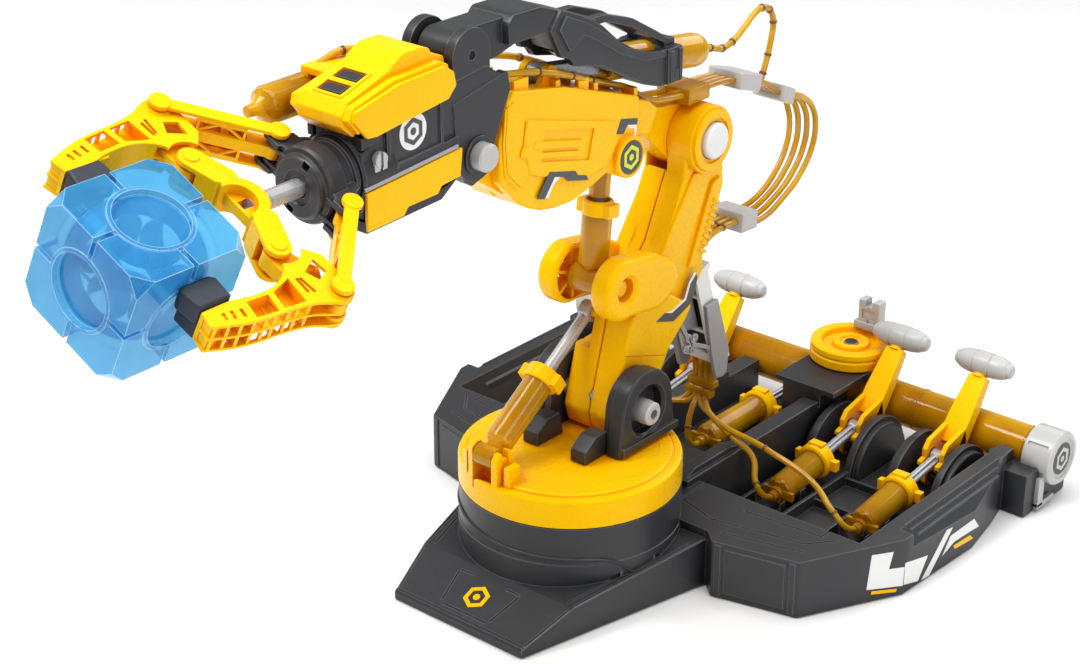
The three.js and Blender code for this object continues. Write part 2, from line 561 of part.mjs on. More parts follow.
function wristCover() {
  const side = [[-80.5, 231.6], [-86, 236], [-90, 243], [-112, 244.6], [-116, 239], [-128, 234],
    [-131, 226],
    [-125.4, 221.6], [-118.2, 228.2], [-80.5, 230.5]];
  const top = prism('X', side, -12, 12);
  const skirt = prism('X', [[-80, 229], [-84, 236], [-114, 236], [-127, 231], [-122, 222], [-108, 217],
    [-86, 220]], 13.3, 15);
  const lip = [[-84, 232.5], [-88, 238], [-112, 238], [-124, 232], [-118, 230.6], [-112, 231]];
  const wrap = prism('X', lip, 11, 15);
  const buttons = [-97, -106].map((y) => box(-6.5, 6.5, y - 3, y + 3, 243, 247.4));
  const shelf = box(-24, -11, -112, -92, 233.6, 236);
  return join(top, skirt, mirrorX(skirt), wrap, mirrorX(wrap), ...buttons, shelf);
}

function wristBelly() {
  const side = [[-77.7, 206.2], [-125, 203.4], [-125, 189], [-88, 189.6], [-79, 195.6]];
  const cheek = prism('X', side, 13.9, 15.3);
  const floor = prism('X', [[-125, 189], [-88, 189.6], [-88, 193.2], [-125, 192.2]], -14, 14);
  return join(cheek, mirrorX(cheek), floor);
}

function gripCylinder() {
  const [x, z] = GRIP_CYL_AT;
  const outer = [[0, 0], [2, 0], [3, 6], [6.8, 9], [6.8, 56], [7.8, 56], [7.8, 63], [2.4, 64], [2.4, 68],
    [0, 68]];
  const bore = [[0, 12], [4.8, 12], [4.8, 60], [1.2, 60], [1.2, 70], [0, 70]];
  const start = [x, -139, z];
  return cut(turned(start, [0, 1, 0], outer, 12), turned(start, [0, 1, 0], bore, 10));
}

// ---- wrist link ---------------------------------------------------------------------------
const LINK_DIR = unitYZ(LINK_ROD_EYE, LINK_REAR);

function linkShell() {
  const arm = [...arc(...LINK_AT, 7.6, 90, 285, 12), [-50, 229.5], [-40, 232], [-26, 234.4], [-14, 225],
    [8, 221], [8, 228], [-4, 233.6], [-30, 243.4], [-46, 243.6]];
  const casing = [[-16, 219.4], [4, 213.6], [30, 199.6], [52, 195], [60, 196], [58, 209], [42, 211],
    [12, 225], [0, 233], [-16, 232]];
  const spine = prism('X', arm, -7.2, 7.2);
  const shellBody = prism('X', casing, -11, 11);
  const edge = [[2, 228], [36, 212.6], [50, 209.6], [50, 206], [34, 206], [0, 220]];
  const ridge = prism('X', edge, 10, 12.6);
  const clamp = prism('X', [[50, 195], [59.6, 196], [57.6, 208.6], [49, 208.6]], -13, 13);
  const body = join(spine, shellBody, ridge, mirrorX(ridge), clamp);
  return cut(body, rod('X', ...LINK_AT, 3 + PIN_GAP, -20, 20, 12),
    turned([0, ...LINK_ROD_EYE], LINK_DIR, plug(7.2, 34, 90), 12),
    turned([0, ...LINK_ROD_EYE], LINK_DIR, plug(4.4, 0, 40), 12),
    rod('X', ...LINK_ROD_EYE, 8, -20, 20, 10));
}

function linkCylinder() {
  const outer = [[0, 36], [6.8, 36], [6.8, 88], [5.6, 92], [2.4, 93], [2.2, 99], [0, 99]];
  const bore = [[0, 35], [4.6, 35], [4.6, 86], [1.2, 87], [1.2, 100], [0, 100]];
  const start = [0, ...LINK_ROD_EYE];
  return cut(turned(start, LINK_DIR, outer, 12), turned(start, LINK_DIR, bore, 10));
}

// ---- gripper ------------------------------------------------------------------------------
// In the gripper's own frame: X across the jaws, -Y forward, Z normal to the jaws' plane.
function gripperHead() {
  const profile = [[0, 0], [6, 0], [6, 18.6], [HEAD_R, 18.6], [HEAD_R, 21], [12.4, 21], [12.4, 25],
    [HEAD_R, 25],
    [HEAD_R, 33], [11, 35], [0, 35]];
  const body = turned([0, -107, 0], [0, -1, 0], profile, 18);
  const lugs = [-1, 1].map((s) => {
    const [a, y] = LUG_AT;
    const plate = prism('Z', [[s * 8, -128], [s * 16, -129],
      ...arc(s * a, y, 4, s > 0 ? 60 : 120, s > 0 ? -90 : 270, 8), [s * 8, -139]], -6.4, 6.4);
    return join(cut(plate, prism('Z', circle(s * a, y, 5.4, 10), -2.9, 2.9)),
      rod('Z', s * a, y, 1.8, -6, 6, 10));
  });
  return cut(join(body, ...lugs), rod('Y', 0, 0, 3.6, -143, -110, 20));
}

function crosshead() {
  const stem = rod('Y', 0, 0, 3.1, -166, -112, 14);
  const outline = [[-4, -160], [7, -160], ...arc(...CLAW_AT, 4.4, 60, -120, 8), [6, -168.6], [-4, -168.6]];
  const plate = prism('Z', outline, -6, 6);
  const gap = prism('Z', circle(...CLAW_AT, 6.4, 10), -CROSS_HALF, CROSS_HALF);
  const pin = rod('Z', ...CLAW_AT, 1.8, -6, 6, 10);
  const hub = prism('Z', [[-8, -158], [8, -158], [8, -169], [-8, -169]], -6, 6);
  const body = cut(join(stem, hub, plate, mirrorX(plate)), gap, mirrorX(gap));
  return join(body, pin, mirrorX(pin));
}

// A curved finger made of ribbed plates with cross walls.
function claw(sign) {
  const flip = (points) => points.map(([a, b]) => [sign * a, b]);
  const outer = [CLAW_AT, [30, -161], [46, -161.4], [50.4, -165], [50, -170], [47, -177], [45.4, -186],
    [44.6, -196], [43, -205], [39.6, -215.4], [33.4, -214], [33.4, -203], [34.8, -196], [35, -187],
    [33, -180.6], [29, -176], [24, -176.4]];
  const inner = [[39, -171], [46, -172], [43.8, -181], [42.6, -192], [41.4, -202], [38.4, -211],
    [35.4, -211], [35.4, -204], [37, -197], [37.4, -188], [36.2, -180]];
  const walls = [-178, -185.5, -193, -200.5, -207].map((y) =>
    box(sign * 44 - 9, sign * 44 + 9, y - 0.7, y + 0.7, -8, 8));
  const cells = [[1.2, 7], [-7, -1.2]].map(([z0, z1]) => cut(prism('Z', flip(inner), z0, z1), ...walls));
  const opening = prism('Z', flip([[33.4, -166], [39.6, -166], [41, -171], [35, -173]]), -9, 9);
  const root = prism('Z', circle(sign * CLAW_AT[0], CLAW_AT[1], 7.6, 10), -9, 9);
  const elbowGap = prism('Z', circle(sign * ELBOW_AT[0], ELBOW_AT[1], 5.6, 10), -2.7, 2.7);
  const linkPath = [[30, -150], [40, -150], [51, -158], [51, -166], [40, -166], [30, -160]];
  const elbowPath = prism('Z', flip(linkPath), -2.7, 2.7);
  const plates = cut(prism('Z', flip(outer), -JAW_HALF, JAW_HALF),
    root, ...cells, opening, elbowGap, elbowPath);
  const low = -CROSS_HALF + GAP;
  const high = CROSS_HALF - GAP;
  const knuckle = prism('Z', circle(sign * CLAW_AT[0], CLAW_AT[1], 4.2, 10), low, high);
  const bridge = prism('Z', flip([[22, -168], [22, -176], [33, -176], [33, -164]]), low, high);
  const pin = rod('Z', sign * ELBOW_AT[0], ELBOW_AT[1], 1.8, -5.2, 5.2, 10);
  return cut(join(plates, knuckle, bridge, pin),
    rod('Z', sign * CLAW_AT[0], CLAW_AT[1], 1.8 + PIN_GAP, -9, 9, 10));
}

function jawLink(sign) {
  const [ax, ay] = [sign * LUG_AT[0], LUG_AT[1]];
  const [bx, by] = [sign * ELBOW_AT[0], ELBOW_AT[1]];
  const len = Math.hypot(bx - ax, by - ay);
  const [nx, ny] = [(-(by - ay) / len) * 3, ((bx - ax) / len) * 3];
  const sides = [[ax + nx, ay + ny], [ax - nx, ay - ny], [bx - nx, by - ny], [bx + nx, by + ny]];
  const web = prism('Z', sides, -2.3, 2.3);
  const mid = (t, k) => [ax + (bx - ax) * t + nx * k, ay + (by - ay) * t + ny * k];
  const windows = [0.22, 0.44, 0.66].map((t) => prism('Z',
    [mid(t, -0.5), mid(t + 0.15, -0.5), mid(t + 0.15, 0.5), mid(t, 0.5)], -6, 6));
  const bosses = [rod('Z', ax, ay, 3.8, -2.3, 2.3, 10), rod('Z', bx, by, 3.8, -2.3, 2.3, 14)];
  const bores = [[ax, ay], [bx, by]].map(([t, y]) => rod('Z', t, y, 1.8 + PIN_GAP, -6, 6, 10));
  return cut(join(web, ...bosses), ...windows, ...bores);
}

function jawPad(sign) {
  const face = BLOCK_HALF + GAP;
  const outline = [[face, -214.4], [face, -196.6], [face + 1.6, -195], [PAD_BACK, -196],
    [PAD_BACK, -214.4],
    [face + 2, -216]];
  return prism('Z', outline.map(([a, b]) => [sign * a, b]), -7, 7);
}

// A cube with cut corners, a round window in each face, grooves between its chunks and a hollow inside.
function clearBlock() {
  const h = BLOCK_HALF;
  const wall = 4;
  const corners = (half, cutAt) => solid(new THREE.OctahedronGeometry(half * cutAt));
  const body = box(-h, h, -h, h, -h, h).intersect(corners(h, BLOCK_CORNER));
  const faces = ['X', 'Y', 'Z'].flatMap((axis) => [-1, 1].map((s) => [axis, s]));
  const below = (s, depth) => (s > 0 ? [h - depth, h + 1] : [-h - 1, -h + depth]);
  const dishes = faces.map(([axis, s]) => rod(axis, 0, 0, 13.4, ...below(s, 1.6), 18));
  const grooves = faces.flatMap(([axis, s]) => {
    const long = [[-0.8, -h - 1], [0.8, -h - 1], [0.8, h + 1], [-0.8, h + 1]];
    return [long, long.map(([a, b]) => [b, a])].map((outline) => prism(axis, outline, ...below(s, 1.2)));
  });
  const room = h - wall;
  const core = box(-room, room, -room, room, -room, room).intersect(corners(h, 2.4));
  const vent = rod('Y', 0, 0, 3, -2 * h, 0, 16);
  return cut(body, ...dishes, ...grooves, core, vent).translate(BLOCK_AT);
}

// ---- hoses --------------------------------------------------------------------------------
function nippleAt(x) {
  const reach = 28 + 31 + 5.4;
  const [y, z] = LEVER_PIN;
  return [x, y - Math.cos(PLUNGER_TILT) * reach, z - Math.sin(PLUNGER_TILT) * reach];
}

function consoleHoses() {
  const strands = LEVER_XS.map((x, i) => {
    const [, y, z] = nippleAt(x);
    const s = Math.sign(x);
    const wide = Math.abs(x);
    return hose([[x, y - 0.4, z], [x * 0.97, y - 9, z + 4], [s * (wide * 0.72 + 4), 76, 22 + i % 2],
      [s * 22, 78, 36], [s * 6, 84, 39.5], [STRANDS[3 - i] * 0.9, 86.5, 42.6]]);
  });
  const centre = hose([[0, 86, 19], [0, 82, 19.6], [0, 79, 25], [0, 80, 32], [0, 83, 38],
    [0, 86.5, 42.6]], 1.4, 8);
  const tie = box(-6.6, 6.6, 84.6, 88, 40, 42.8);
  return join(...strands, centre, tie);
}

function loopHoses() {
  const strands = STRANDS.map((x, i) => {
    const k = i * 2.2;
    return hose([[x, 90, 49], [x, 88.4, 61], [x, 75.2, 102], [x, 74.8, 108.6], [x, 80, 116.5],
      [x * 1.1, 100, 119], [x * 1.1, 118, 117 - k * 0.4], [x, 142 + k, 126], [x, 152 + k, 145],
      [x, 147 + k * 0.6, 160], [x, 134.6, 166.6]], 1.25, 12);
  });
  const lowClip = prism('X', [[102, 115], [103, 122.5], [112, 121.6], [112, 114.4]], -8, 8);
  const highClip = prism('X', [[134.8, 162.6], [136, 169.6], [145, 166.6], [143, 160]], -8, 8);
  return join(...strands, lowClip, highClip);
}

function forearmHoses() {
  const route = (x) => [[x, 131.8, 167.2], [x, 118, 175.4], [x, 88, 183.6], [x, 70, 184.2],
    [x, 54, 185.8], [x, 40, 189.4], [x, 34, 193], [x, 26, 198], [x, 16, 202]];
  const near = hose([...route(4.5), [7, 2, 207.6], [9.4, -12, 213.4], [9, -30, 219.6], [5.4, -46, 222]],
    1.3, 14);
  const far = hose([...route(-4.5), [-9, 2, 208.6], [-14, -14, 216], [-18, -34, 221]], 1.3, 13);
  const clip = box(-8, 8, 64, 76, 181.4, 187.4);
  const bracket = box(-8, 8, 106, 110, 174.6, 181.4);
  return join(near, far, clip, bracket);
}

function linkHose() {
  return hose([[0, 78.6 + 5.6, 197.6], [0, 96, 194], [0, 112, 191.6], [0, 123, 198], [1, 124, 208],
    [1, 116, 209], [2, 104, 198], [1.4, 103, 187]], 1.3, 12);
}

// ---- assembly -----------------------------------------------------------------------------
place('base_shell', baseShell(), DARK);
place('tank_tube', cut(rod('X', ...TANK_AT, TANK_R, -124, 124, 14),
  rod('X', ...TANK_AT, TANK_R - 1.8, -130, 130, 14)), AMBER);
place('tank_cap_near', tankCap(1), GREY);
place('tank_cap_far', tankCap(-1), GREY);
LEVER_XS.forEach((x, i) => {
  place(`lever_barrel_${i + 1}`, masterBarrel(pinAt(x), PLUNGER_DIR, 28, 31), AMBER);
  place(`lever_plunger_${i + 1}`, leverPlunger(x), SILVER);
  place(`lever_${i + 1}`, lever(x), YELLOW);
  place(`lever_handle_${i + 1}`, handle(x), GREY);
});
place('wheel_barrel', masterBarrel([0, 165, 19], [0, -1, 0], 30, 43), AMBER);
place('wheel_plunger', plunger([0, 156, 19], [0, -1, 0], 37), SILVER);
place('wheel', wheel(), YELLOW);
place('wheel_grip', wheelGrip(), GREY);

place('turntable', turntable(), YELLOW);
place('pedestal_near', pedestal(1), DARK);
place('pedestal_far', pedestal(-1), DARK);
place('boom_pin', boomPin(), GREY);
place('boom_cylinder', slaveBarrel(BOOM_CYL_X, BOOM_CYL_FOOT, BOOM_ROD_EYE, 4.4, 4.8, 2, 42, 7.4), AMBER);
place('boom_rod', slaveRod(BOOM_CYL_X, BOOM_ROD_EYE, BOOM_CYL_FOOT, 2.3, 46, 4.2, 2.6, 2), SILVER);
place('lower_arm_near', lowerArmHalf(1), YELLOW);
place('lower_arm_far', lowerArmHalf(-1), YELLOW);
place('shoulder_pin', shoulderPin(), GREY);
place('forearm_cylinder', slaveBarrel(0, YOKE_AT, FORE_ROD_EYE, 6, 7.6, 3.2, 33, 6.6), AMBER);
place('forearm_rod', slaveRod(0, FORE_ROD_EYE, YOKE_AT, 2.2, 24.5, 4.4, 4, 2.4), SILVER);
place('hose_guide', hoseGuide(), GREY);

place('forearm_near', forearmHalf(1), YELLOW);
place('forearm_far', forearmHalf(-1), YELLOW);
place('wrist_pin', wristPin(), GREY);
place('wrist_body', wristBody(), DARK);
place('wrist_cover', wristCover(), YELLOW);
place('wrist_belly', wristBelly(), YELLOW);
place('grip_cylinder', gripCylinder(), AMBER);
place('link_shell', linkShell(), DARK);
place('link_cylinder', linkCylinder(), AMBER);
place('link_rod', slaveRod(0, LINK_ROD_EYE, LINK_REAR, 2.6, 52, 4, 2.6, 1.8), SILVER);

place('gripper_head', gripperHead(), DARK, gripper);
place('crosshead', crosshead(), YELLOW, gripper);
for (const [side, sign] of [['near', 1], ['far', -1]]) {
  place(`claw_${side}`, claw(sign), YELLOW, gripper);
  place(`jaw_link_${side}`, jawLink(sign), YELLOW, gripper);
  place(`jaw_pad_${side}`, jawPad(sign), RUBBER, gripper);
}
place('clear_block', clearBlock(), BLUE, gripper);

place('hoses_console', consoleHoses(), AMBER);
place('hoses_loop', loopHoses(), AMBER);
place('hoses_forearm', forearmHoses(), AMBER);
place('hose_link', linkHose(), AMBER);

export default kit;
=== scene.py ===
"""Looks of the toy hydraulic robot arm: finer pieces, decals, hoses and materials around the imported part."""

import bmesh
import bpy
import json
import math
from mathutils import Euler, Matrix, Vector

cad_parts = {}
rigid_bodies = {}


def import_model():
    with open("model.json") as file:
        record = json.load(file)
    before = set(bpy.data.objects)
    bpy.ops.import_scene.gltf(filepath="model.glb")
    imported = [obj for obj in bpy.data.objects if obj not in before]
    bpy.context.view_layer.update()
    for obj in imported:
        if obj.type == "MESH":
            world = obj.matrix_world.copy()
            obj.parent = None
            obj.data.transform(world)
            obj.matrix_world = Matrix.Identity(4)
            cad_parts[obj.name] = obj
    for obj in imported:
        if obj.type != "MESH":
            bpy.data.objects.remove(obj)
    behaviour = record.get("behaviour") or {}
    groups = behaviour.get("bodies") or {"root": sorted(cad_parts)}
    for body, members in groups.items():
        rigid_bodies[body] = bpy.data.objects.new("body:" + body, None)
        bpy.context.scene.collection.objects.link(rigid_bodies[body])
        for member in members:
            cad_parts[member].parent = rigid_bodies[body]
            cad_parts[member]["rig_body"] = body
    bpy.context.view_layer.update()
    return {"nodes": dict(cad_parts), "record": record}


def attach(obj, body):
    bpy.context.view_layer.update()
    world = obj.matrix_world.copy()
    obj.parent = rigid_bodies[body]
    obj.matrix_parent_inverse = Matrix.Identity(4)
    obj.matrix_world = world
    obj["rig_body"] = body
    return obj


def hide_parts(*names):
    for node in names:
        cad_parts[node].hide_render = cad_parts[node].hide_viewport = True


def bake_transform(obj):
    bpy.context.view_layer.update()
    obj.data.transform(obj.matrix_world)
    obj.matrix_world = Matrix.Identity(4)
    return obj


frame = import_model()
NODES = frame["nodes"]
SCENE = bpy.context.scene
MM = 0.001

# ---- camera and light ---------------------------------------------------------------------
AZIMUTH, ELEVATION, LENS = 40.404, 25.303, 76.07
EYE = (0.51374, -0.62236, 0.48433)
camera_data = bpy.data.cameras.new("camera")
camera_data.lens = LENS
camera_data.sensor_width = 36
camera_data.clip_start = 0.01
camera_data.clip_end = 20
camera = bpy.data.objects.new("camera", camera_data)
camera.location = EYE
camera.rotation_euler = Euler((math.radians(90 - ELEVATION), 0, math.radians(AZIMUTH)))
SCENE.collection.objects.link(camera)
SCENE.camera = camera
SCENE.view_settings.view_transform = "Standard"

world = bpy.data.worlds.new("studio")
world.use_nodes = True
world.node_tree.nodes["Background"].inputs["Color"].default_value = (1, 1, 1, 1)
world.node_tree.nodes["Background"].inputs["Strength"].default_value = 0.30
SCENE.world = world


def area_light(name, place, target, size, watts):
    """A rectangular lamp turned towards a point."""
    data = bpy.data.lights.new(name, "AREA")
    data.shape = "RECTANGLE"
    data.size, data.size_y = size
    data.energy = watts
    lamp = bpy.data.objects.new(name, data)
    lamp.location = place
    lamp.rotation_euler = (Vector(target) - Vector(place)).to_track_quat("-Z", "Y").to_euler()
    SCENE.collection.objects.link(lamp)


CENTRE = (0, 0, 0.1)
area_light("key", (-0.30, -0.55, 1.15), CENTRE, (0.7, 0.5), 12)
area_light("top", (0.15, 0.1, 1.2), CENTRE, (0.8, 0.8), 7)
area_light("side", (0.95, -0.25, 0.6), CENTRE, (0.6, 0.6), 3.2)
area_light("back", (0.1, 0.95, 0.75), CENTRE, (0.9, 0.4), 3.5)
area_light("left", (-1.0, 0.1, 0.45), CENTRE, (0.5, 0.8), 1.6)


# ---- materials ----------------------------------------------------------------------------
class Nodes:
    """A material's node tree with short calls for making and joining nodes."""

    def __init__(self, name):
        self.material = bpy.data.materials.new(name)
        self.material.use_nodes = True
        self.tree = self.material.node_tree
        self.shader = self.tree.nodes["Principled BSDF"]
        self.place = self.make("TexCoord").outputs["Object"]

    def make(self, kind, **settings):
        node = self.tree.nodes.new("ShaderNode" + kind)
        for key, value in settings.items():
            setattr(node, key, value)
        return node

    def put(self, node, key, value):
        if isinstance(value, bpy.types.NodeSocket):
            self.tree.links.new(value, node.inputs[key])
        else:
            node.inputs[key].default_value = value

    def noise(self, scale, detail=3, rough=0.5):
        """Noise over the object."""
        node = self.make("TexNoise")
        self.put(node, "Vector", self.place)
        self.put(node, "Scale", scale)
        self.put(node, "Detail", detail)
        self.put(node, "Roughness", rough)
        return node.outputs["Fac"]

    def span(self, value, low, high, start=0.0, end=1.0):
        """One range of a value mapped to another."""
        node = self.make("MapRange")
        for key, number in (("From Min", low), ("From Max", high), ("To Min", start), ("To Max", end)):
            self.put(node, key, number)
        self.put(node, "Value", value)
        return node.outputs["Result"]

    def mix(self, factor, a, b):
        """A blend of two colours."""
        node = self.make("Mix", data_type="RGBA")
        for key, value in ((0, factor), (6, a), (7, b)):
            self.put(node, key, value)
        return node.outputs[2]

    def bump(self, height, strength, distance, normal=None):
        """Fine relief from a height."""
        node = self.make("Bump")
        self.put(node, "Strength", strength)
        self.put(node, "Distance", distance)
        self.put(node, "Height", height)
        if normal is not None:
            self.put(node, "Normal", normal)
        return node.outputs["Normal"]

    def occlusion(self, distance):
        """0 deep in a hollow and 1 in the open: the mask for painted shade."""
        node = self.make("AmbientOcclusion", samples=6)
        self.put(node, "Distance", distance)
        return node.outputs["AO"]

    def edges(self, radius):
        """1 on edges and 0 on flats."""
        rounded = self.make("Bevel", samples=4)
        self.put(rounded, "Radius", radius)
        flat = self.make("NewGeometry").outputs["Normal"]
        dot = self.make("VectorMath", operation="DOT_PRODUCT")
        self.tree.links.new(rounded.outputs[0], dot.inputs[0])
        self.tree.links.new(flat, dot.inputs[1])
        return self.span(dot.outputs["Value"], 0.995, 0.9)

    def lit_edges(self, radius, highlight_share):
        """The edges, up to a share: the mask for painted edge highlights."""
        node = self.make("Math", operation="MULTIPLY")
        self.put(node, 0, self.edges(radius))
        self.put(node, 1, highlight_share)
        return node.outputs[0]


def shade(rgb, k=1.0):
    """A colour made paler or deeper, with its alpha."""
    return (rgb[0] * k, rgb[1] * k, rgb[2] * k, 1)


def shader_of(material):
    """The inputs of a material's shader."""
    return material.node_tree.nodes["Principled BSDF"].inputs


def moulded(name, colour, crevice_shade, edge, roughness, grain=0.06, coat=0.0, highlight_share=0.35):
    """Moulded plastic: fine grain and soft flow marks, with painted shade in the crevices and painted
    highlights on the edges.
    """
    n = Nodes(name)
    flow = n.noise(14, 4, 0.55)
    grit = n.noise(2600, 2, 0.6)
    speck = n.noise(420, 3, 0.6)
    tone = n.mix(n.span(flow, 0.35, 0.65), shade(colour, 0.965), shade(colour, 1.03))
    # painted shade: the deeper colour goes where ambient occlusion finds the surface hemmed in
    hollow = n.span(n.occlusion(0.011), 0.25, 0.85)
    tone = n.mix(hollow, shade(crevice_shade), tone)
    # painted highlight: the edges are turned paler, up to a share
    tone = n.mix(n.lit_edges(0.0006, highlight_share), tone, shade(edge))
    n.put(n.shader, "Base Color", tone)
    n.put(n.shader, "Roughness", n.span(speck, 0.3, 0.7, roughness - 0.035, roughness + 0.045))
    n.put(n.shader, "IOR", 1.5)
    n.put(n.shader, "Coat Weight", coat)
    n.put(n.shader, "Coat Roughness", 0.12)
    fine = n.bump(grit, grain, 0.00012)
    n.put(n.shader, "Normal", n.bump(flow, 0.008, 0.002, fine))
    return n.material


def clear(name, colour, deep, tint, solid, rim_solid, highlight_tint=(1, 1, 1), highlight_share=0.0, roughness=0.08):
    """Clear tinted plastic: light passes through it tinted, and its skin is denser at glancing angles. Its
    hollows get painted shade, and its edges can get a painted highlight.
    """
    n = Nodes(name)
    flow = n.noise(38, 3, 0.5)
    facing = n.make("LayerWeight")
    n.put(facing, "Blend", 0.3)
    tone = n.mix(n.span(flow, 0.3, 0.7), shade(colour), shade(deep))
    # painted shade: the deep colour again, where ambient occlusion finds the surface hemmed in
    hollow = n.span(n.occlusion(0.006), 0.2, 0.8)
    tone = n.mix(hollow, shade(deep), tone)
    # painted highlight: paler edges, used for the blue block's white edge lines
    if highlight_share:
        rim = n.lit_edges(0.0005, highlight_share)
        tone = n.mix(rim, tone, shade(highlight_tint))
    n.put(n.shader, "Base Color", tone)
    n.put(n.shader, "Roughness", n.span(flow, 0.3, 0.7, roughness, roughness + 0.05))
    n.put(n.shader, "IOR", 1.5)
    n.put(n.shader, "Coat Weight", 0.4)
    n.put(n.shader, "Coat Roughness", 0.04)
    n.put(n.shader, "Normal", n.bump(flow, 0.04, 0.0006))
    through = n.make("BsdfTransparent")
    n.put(through, "Color", shade(tint))
    density = n.span(facing.outputs["Facing"], 0.1, 0.9, solid, rim_solid)
    # the painted edge highlights also make the edges more opaque
    if highlight_share:
        densest = n.make("Math", operation="MAXIMUM")
        n.put(densest, 0, density)
        n.put(densest, 1, rim)
        density = densest.outputs[0]
    blend = n.make("MixShader")
    n.put(blend, 0, density)
    n.tree.links.new(through.outputs[0], blend.inputs[1])
    n.tree.links.new(n.shader.outputs[0], blend.inputs[2])
    n.tree.links.new(blend.outputs[0], n.tree.nodes["Material Output"].inputs["Surface"])
    return n.material


# Each moulded finish gives its colour, then a deeper colour painted as shade in the crevices, then a paler
# colour painted as highlights on the edges, then roughness, grain, coat and the share of the edge highlight.
YELLOW = moulded("yellow abs", (1.0, 0.55, 0.0), (0.88, 0.27, 0.0), (1.0, 0.66, 0.01), 0.28, 0.03, 0.0)
shader_of(YELLOW)["Specular IOR Level"].default_value = 0.45
shader_of(YELLOW)["Specular Tint"].default_value = (1.0, 0.72, 0.08, 1)
DARK = moulded("dark abs", (0.034, 0.035, 0.038), (0.012, 0.012, 0.014), (0.17, 0.17, 0.18), 0.34, 0.10,
    0.0, 0.85)
shader_of(DARK)["Specular IOR Level"].default_value = 0.32
GREY = moulded("pale grey abs", (0.50, 0.50, 0.49), (0.26, 0.26, 0.27), (0.66, 0.66, 0.66), 0.33, 0.04, 0.2)
SILVER = moulded("silver abs", (0.50, 0.51, 0.53), (0.26, 0.26, 0.28), (0.75, 0.75, 0.77), 0.26, 0.03, 0.4)
shader_of(SILVER)["Metallic"].default_value = 0.35
RUBBER = moulded("soft rubber", (0.018, 0.022, 0.035), (0.006, 0.007, 0.012), (0.05, 0.06, 0.08), 0.55,
    0.2, 0.0, 0.5)
WHITE = moulded("white print", (0.86, 0.86, 0.85), (0.6, 0.6, 0.6), (0.9, 0.9, 0.9), 0.4, 0.02, 0.0, 0.2)
INK = moulded("dark print", (0.045, 0.052, 0.060), (0.02, 0.02, 0.025), (0.09, 0.10, 0.11), 0.36, 0.02,
    0.1, 0.3)
LIME = moulded("lime print", (0.72, 0.78, 0.02), (0.4, 0.45, 0.0), (0.85, 0.9, 0.1), 0.36, 0.02, 0.1, 0.2)
# Each clear finish gives its colour, then a deeper colour used both for the random flow tone and as painted
# shade in hollows, then the colour light takes through it; the blue block also gets a pale painted highlight
# on its edges.
AMBER = clear("amber clear", (0.80, 0.45, 0.0), (0.44, 0.19, 0.0), (1.0, 0.76, 0.12), 0.5, 0.9)
HOSE = clear("hose amber", (0.86, 0.50, 0.01), (0.46, 0.21, 0.0), (1.0, 0.72, 0.10), 0.66, 0.95)
STEEL = moulded("mid grey abs", (0.34, 0.34, 0.35), (0.14, 0.14, 0.15), (0.6, 0.6, 0.62), 0.36, 0.06,
    0.15, 0.7)
BAND = moulded("hose band", (0.16, 0.06, 0.012), (0.07, 0.02, 0.004), (0.3, 0.13, 0.03), 0.4, 0.03, 0.1,
    0.2)
SEAL = moulded("seal", (0.20, 0.035, 0.01), (0.08, 0.01, 0.0), (0.3, 0.06, 0.02), 0.35, 0.03, 0.1, 0.2)
WATER = clear("tinted water", (0.80, 0.44, 0.0), (0.60, 0.28, 0.0), (1.0, 0.76, 0.12), 0.7, 0.9)
BLUE = clear("blue clear", (0.10, 0.44, 0.73), (0.03, 0.31, 0.64), (0.42, 0.77, 0.95), 0.38, 0.76,
    (0.70, 0.88, 1.0), 0.8)

floor_nodes = Nodes("pale floor")
mottle = floor_nodes.noise(3, 3, 0.5)
floor_nodes.put(floor_nodes.shader, "Base Color",
    floor_nodes.mix(mottle, (0.90, 0.90, 0.90, 1), (0.94, 0.94, 0.94, 1)))
floor_nodes.put(floor_nodes.shader, "Roughness", 0.6)
FLOOR = floor_nodes.material


# ---- solids, in millimetres ---------------------------------------------------------------
def linked(name, data):
    """An object in the scene that shows a mesh or a curve."""
    thing = bpy.data.objects.new(name, data)
    SCENE.collection.objects.link(thing)
    return thing


def mesh_of(points, faces):
    """A temporary object of a closed mesh."""
    mesh = bpy.data.meshes.new("solid")
    mesh.from_pydata([tuple(c * MM for c in p) for p in points], [], faces)
    made = bmesh.new()
    made.from_mesh(mesh)
    bmesh.ops.remove_doubles(made, verts=made.verts, dist=1e-6)
    bmesh.ops.recalc_face_normals(made, faces=made.faces)
    made.to_mesh(mesh)
    made.free()
    return linked("solid", mesh)


def soften(thing, width, steps=2, angle=28):
    """Rounds every sharp edge of a simple solid."""
    if not width:
        return thing
    made = bmesh.new()
    made.from_mesh(thing.data)
    sharp = [e for e in made.edges if len(e.link_faces) == 2 and e.calc_face_angle(0) > math.radians(angle)]
    bmesh.ops.bevel(made, geom=sharp, offset=width * MM, offset_type="OFFSET", segments=steps,
        profile=0.5, affect="EDGES", clamp_overlap=True)
    made.to_mesh(thing.data)
    made.free()
    return thing


def polar(a, b, r, degrees):
    """The point of a plane at a distance and an angle from another."""
    turn = math.radians(degrees)
    return a + r * math.cos(turn), b + r * math.sin(turn)


def arc(a, b, r, start, end, steps=24):
    """Points along part of a circle."""
    return [polar(a, b, r, start + (end - start) * i / steps) for i in range(steps + 1)]


def circle(a, b, r, sides=48):
    """Points round a circle."""
    return arc(a, b, r, 0, 360 - 360 / sides, sides - 1)


def slab(low, high):
    """A closed solid between two loops of as many points."""
    count = len(low)
    faces = [list(range(count))[::-1], list(range(count, 2 * count))]
    faces += [[i, (i + 1) % count, count + (i + 1) % count, count + i] for i in range(count)]
    return mesh_of(low + high, faces)


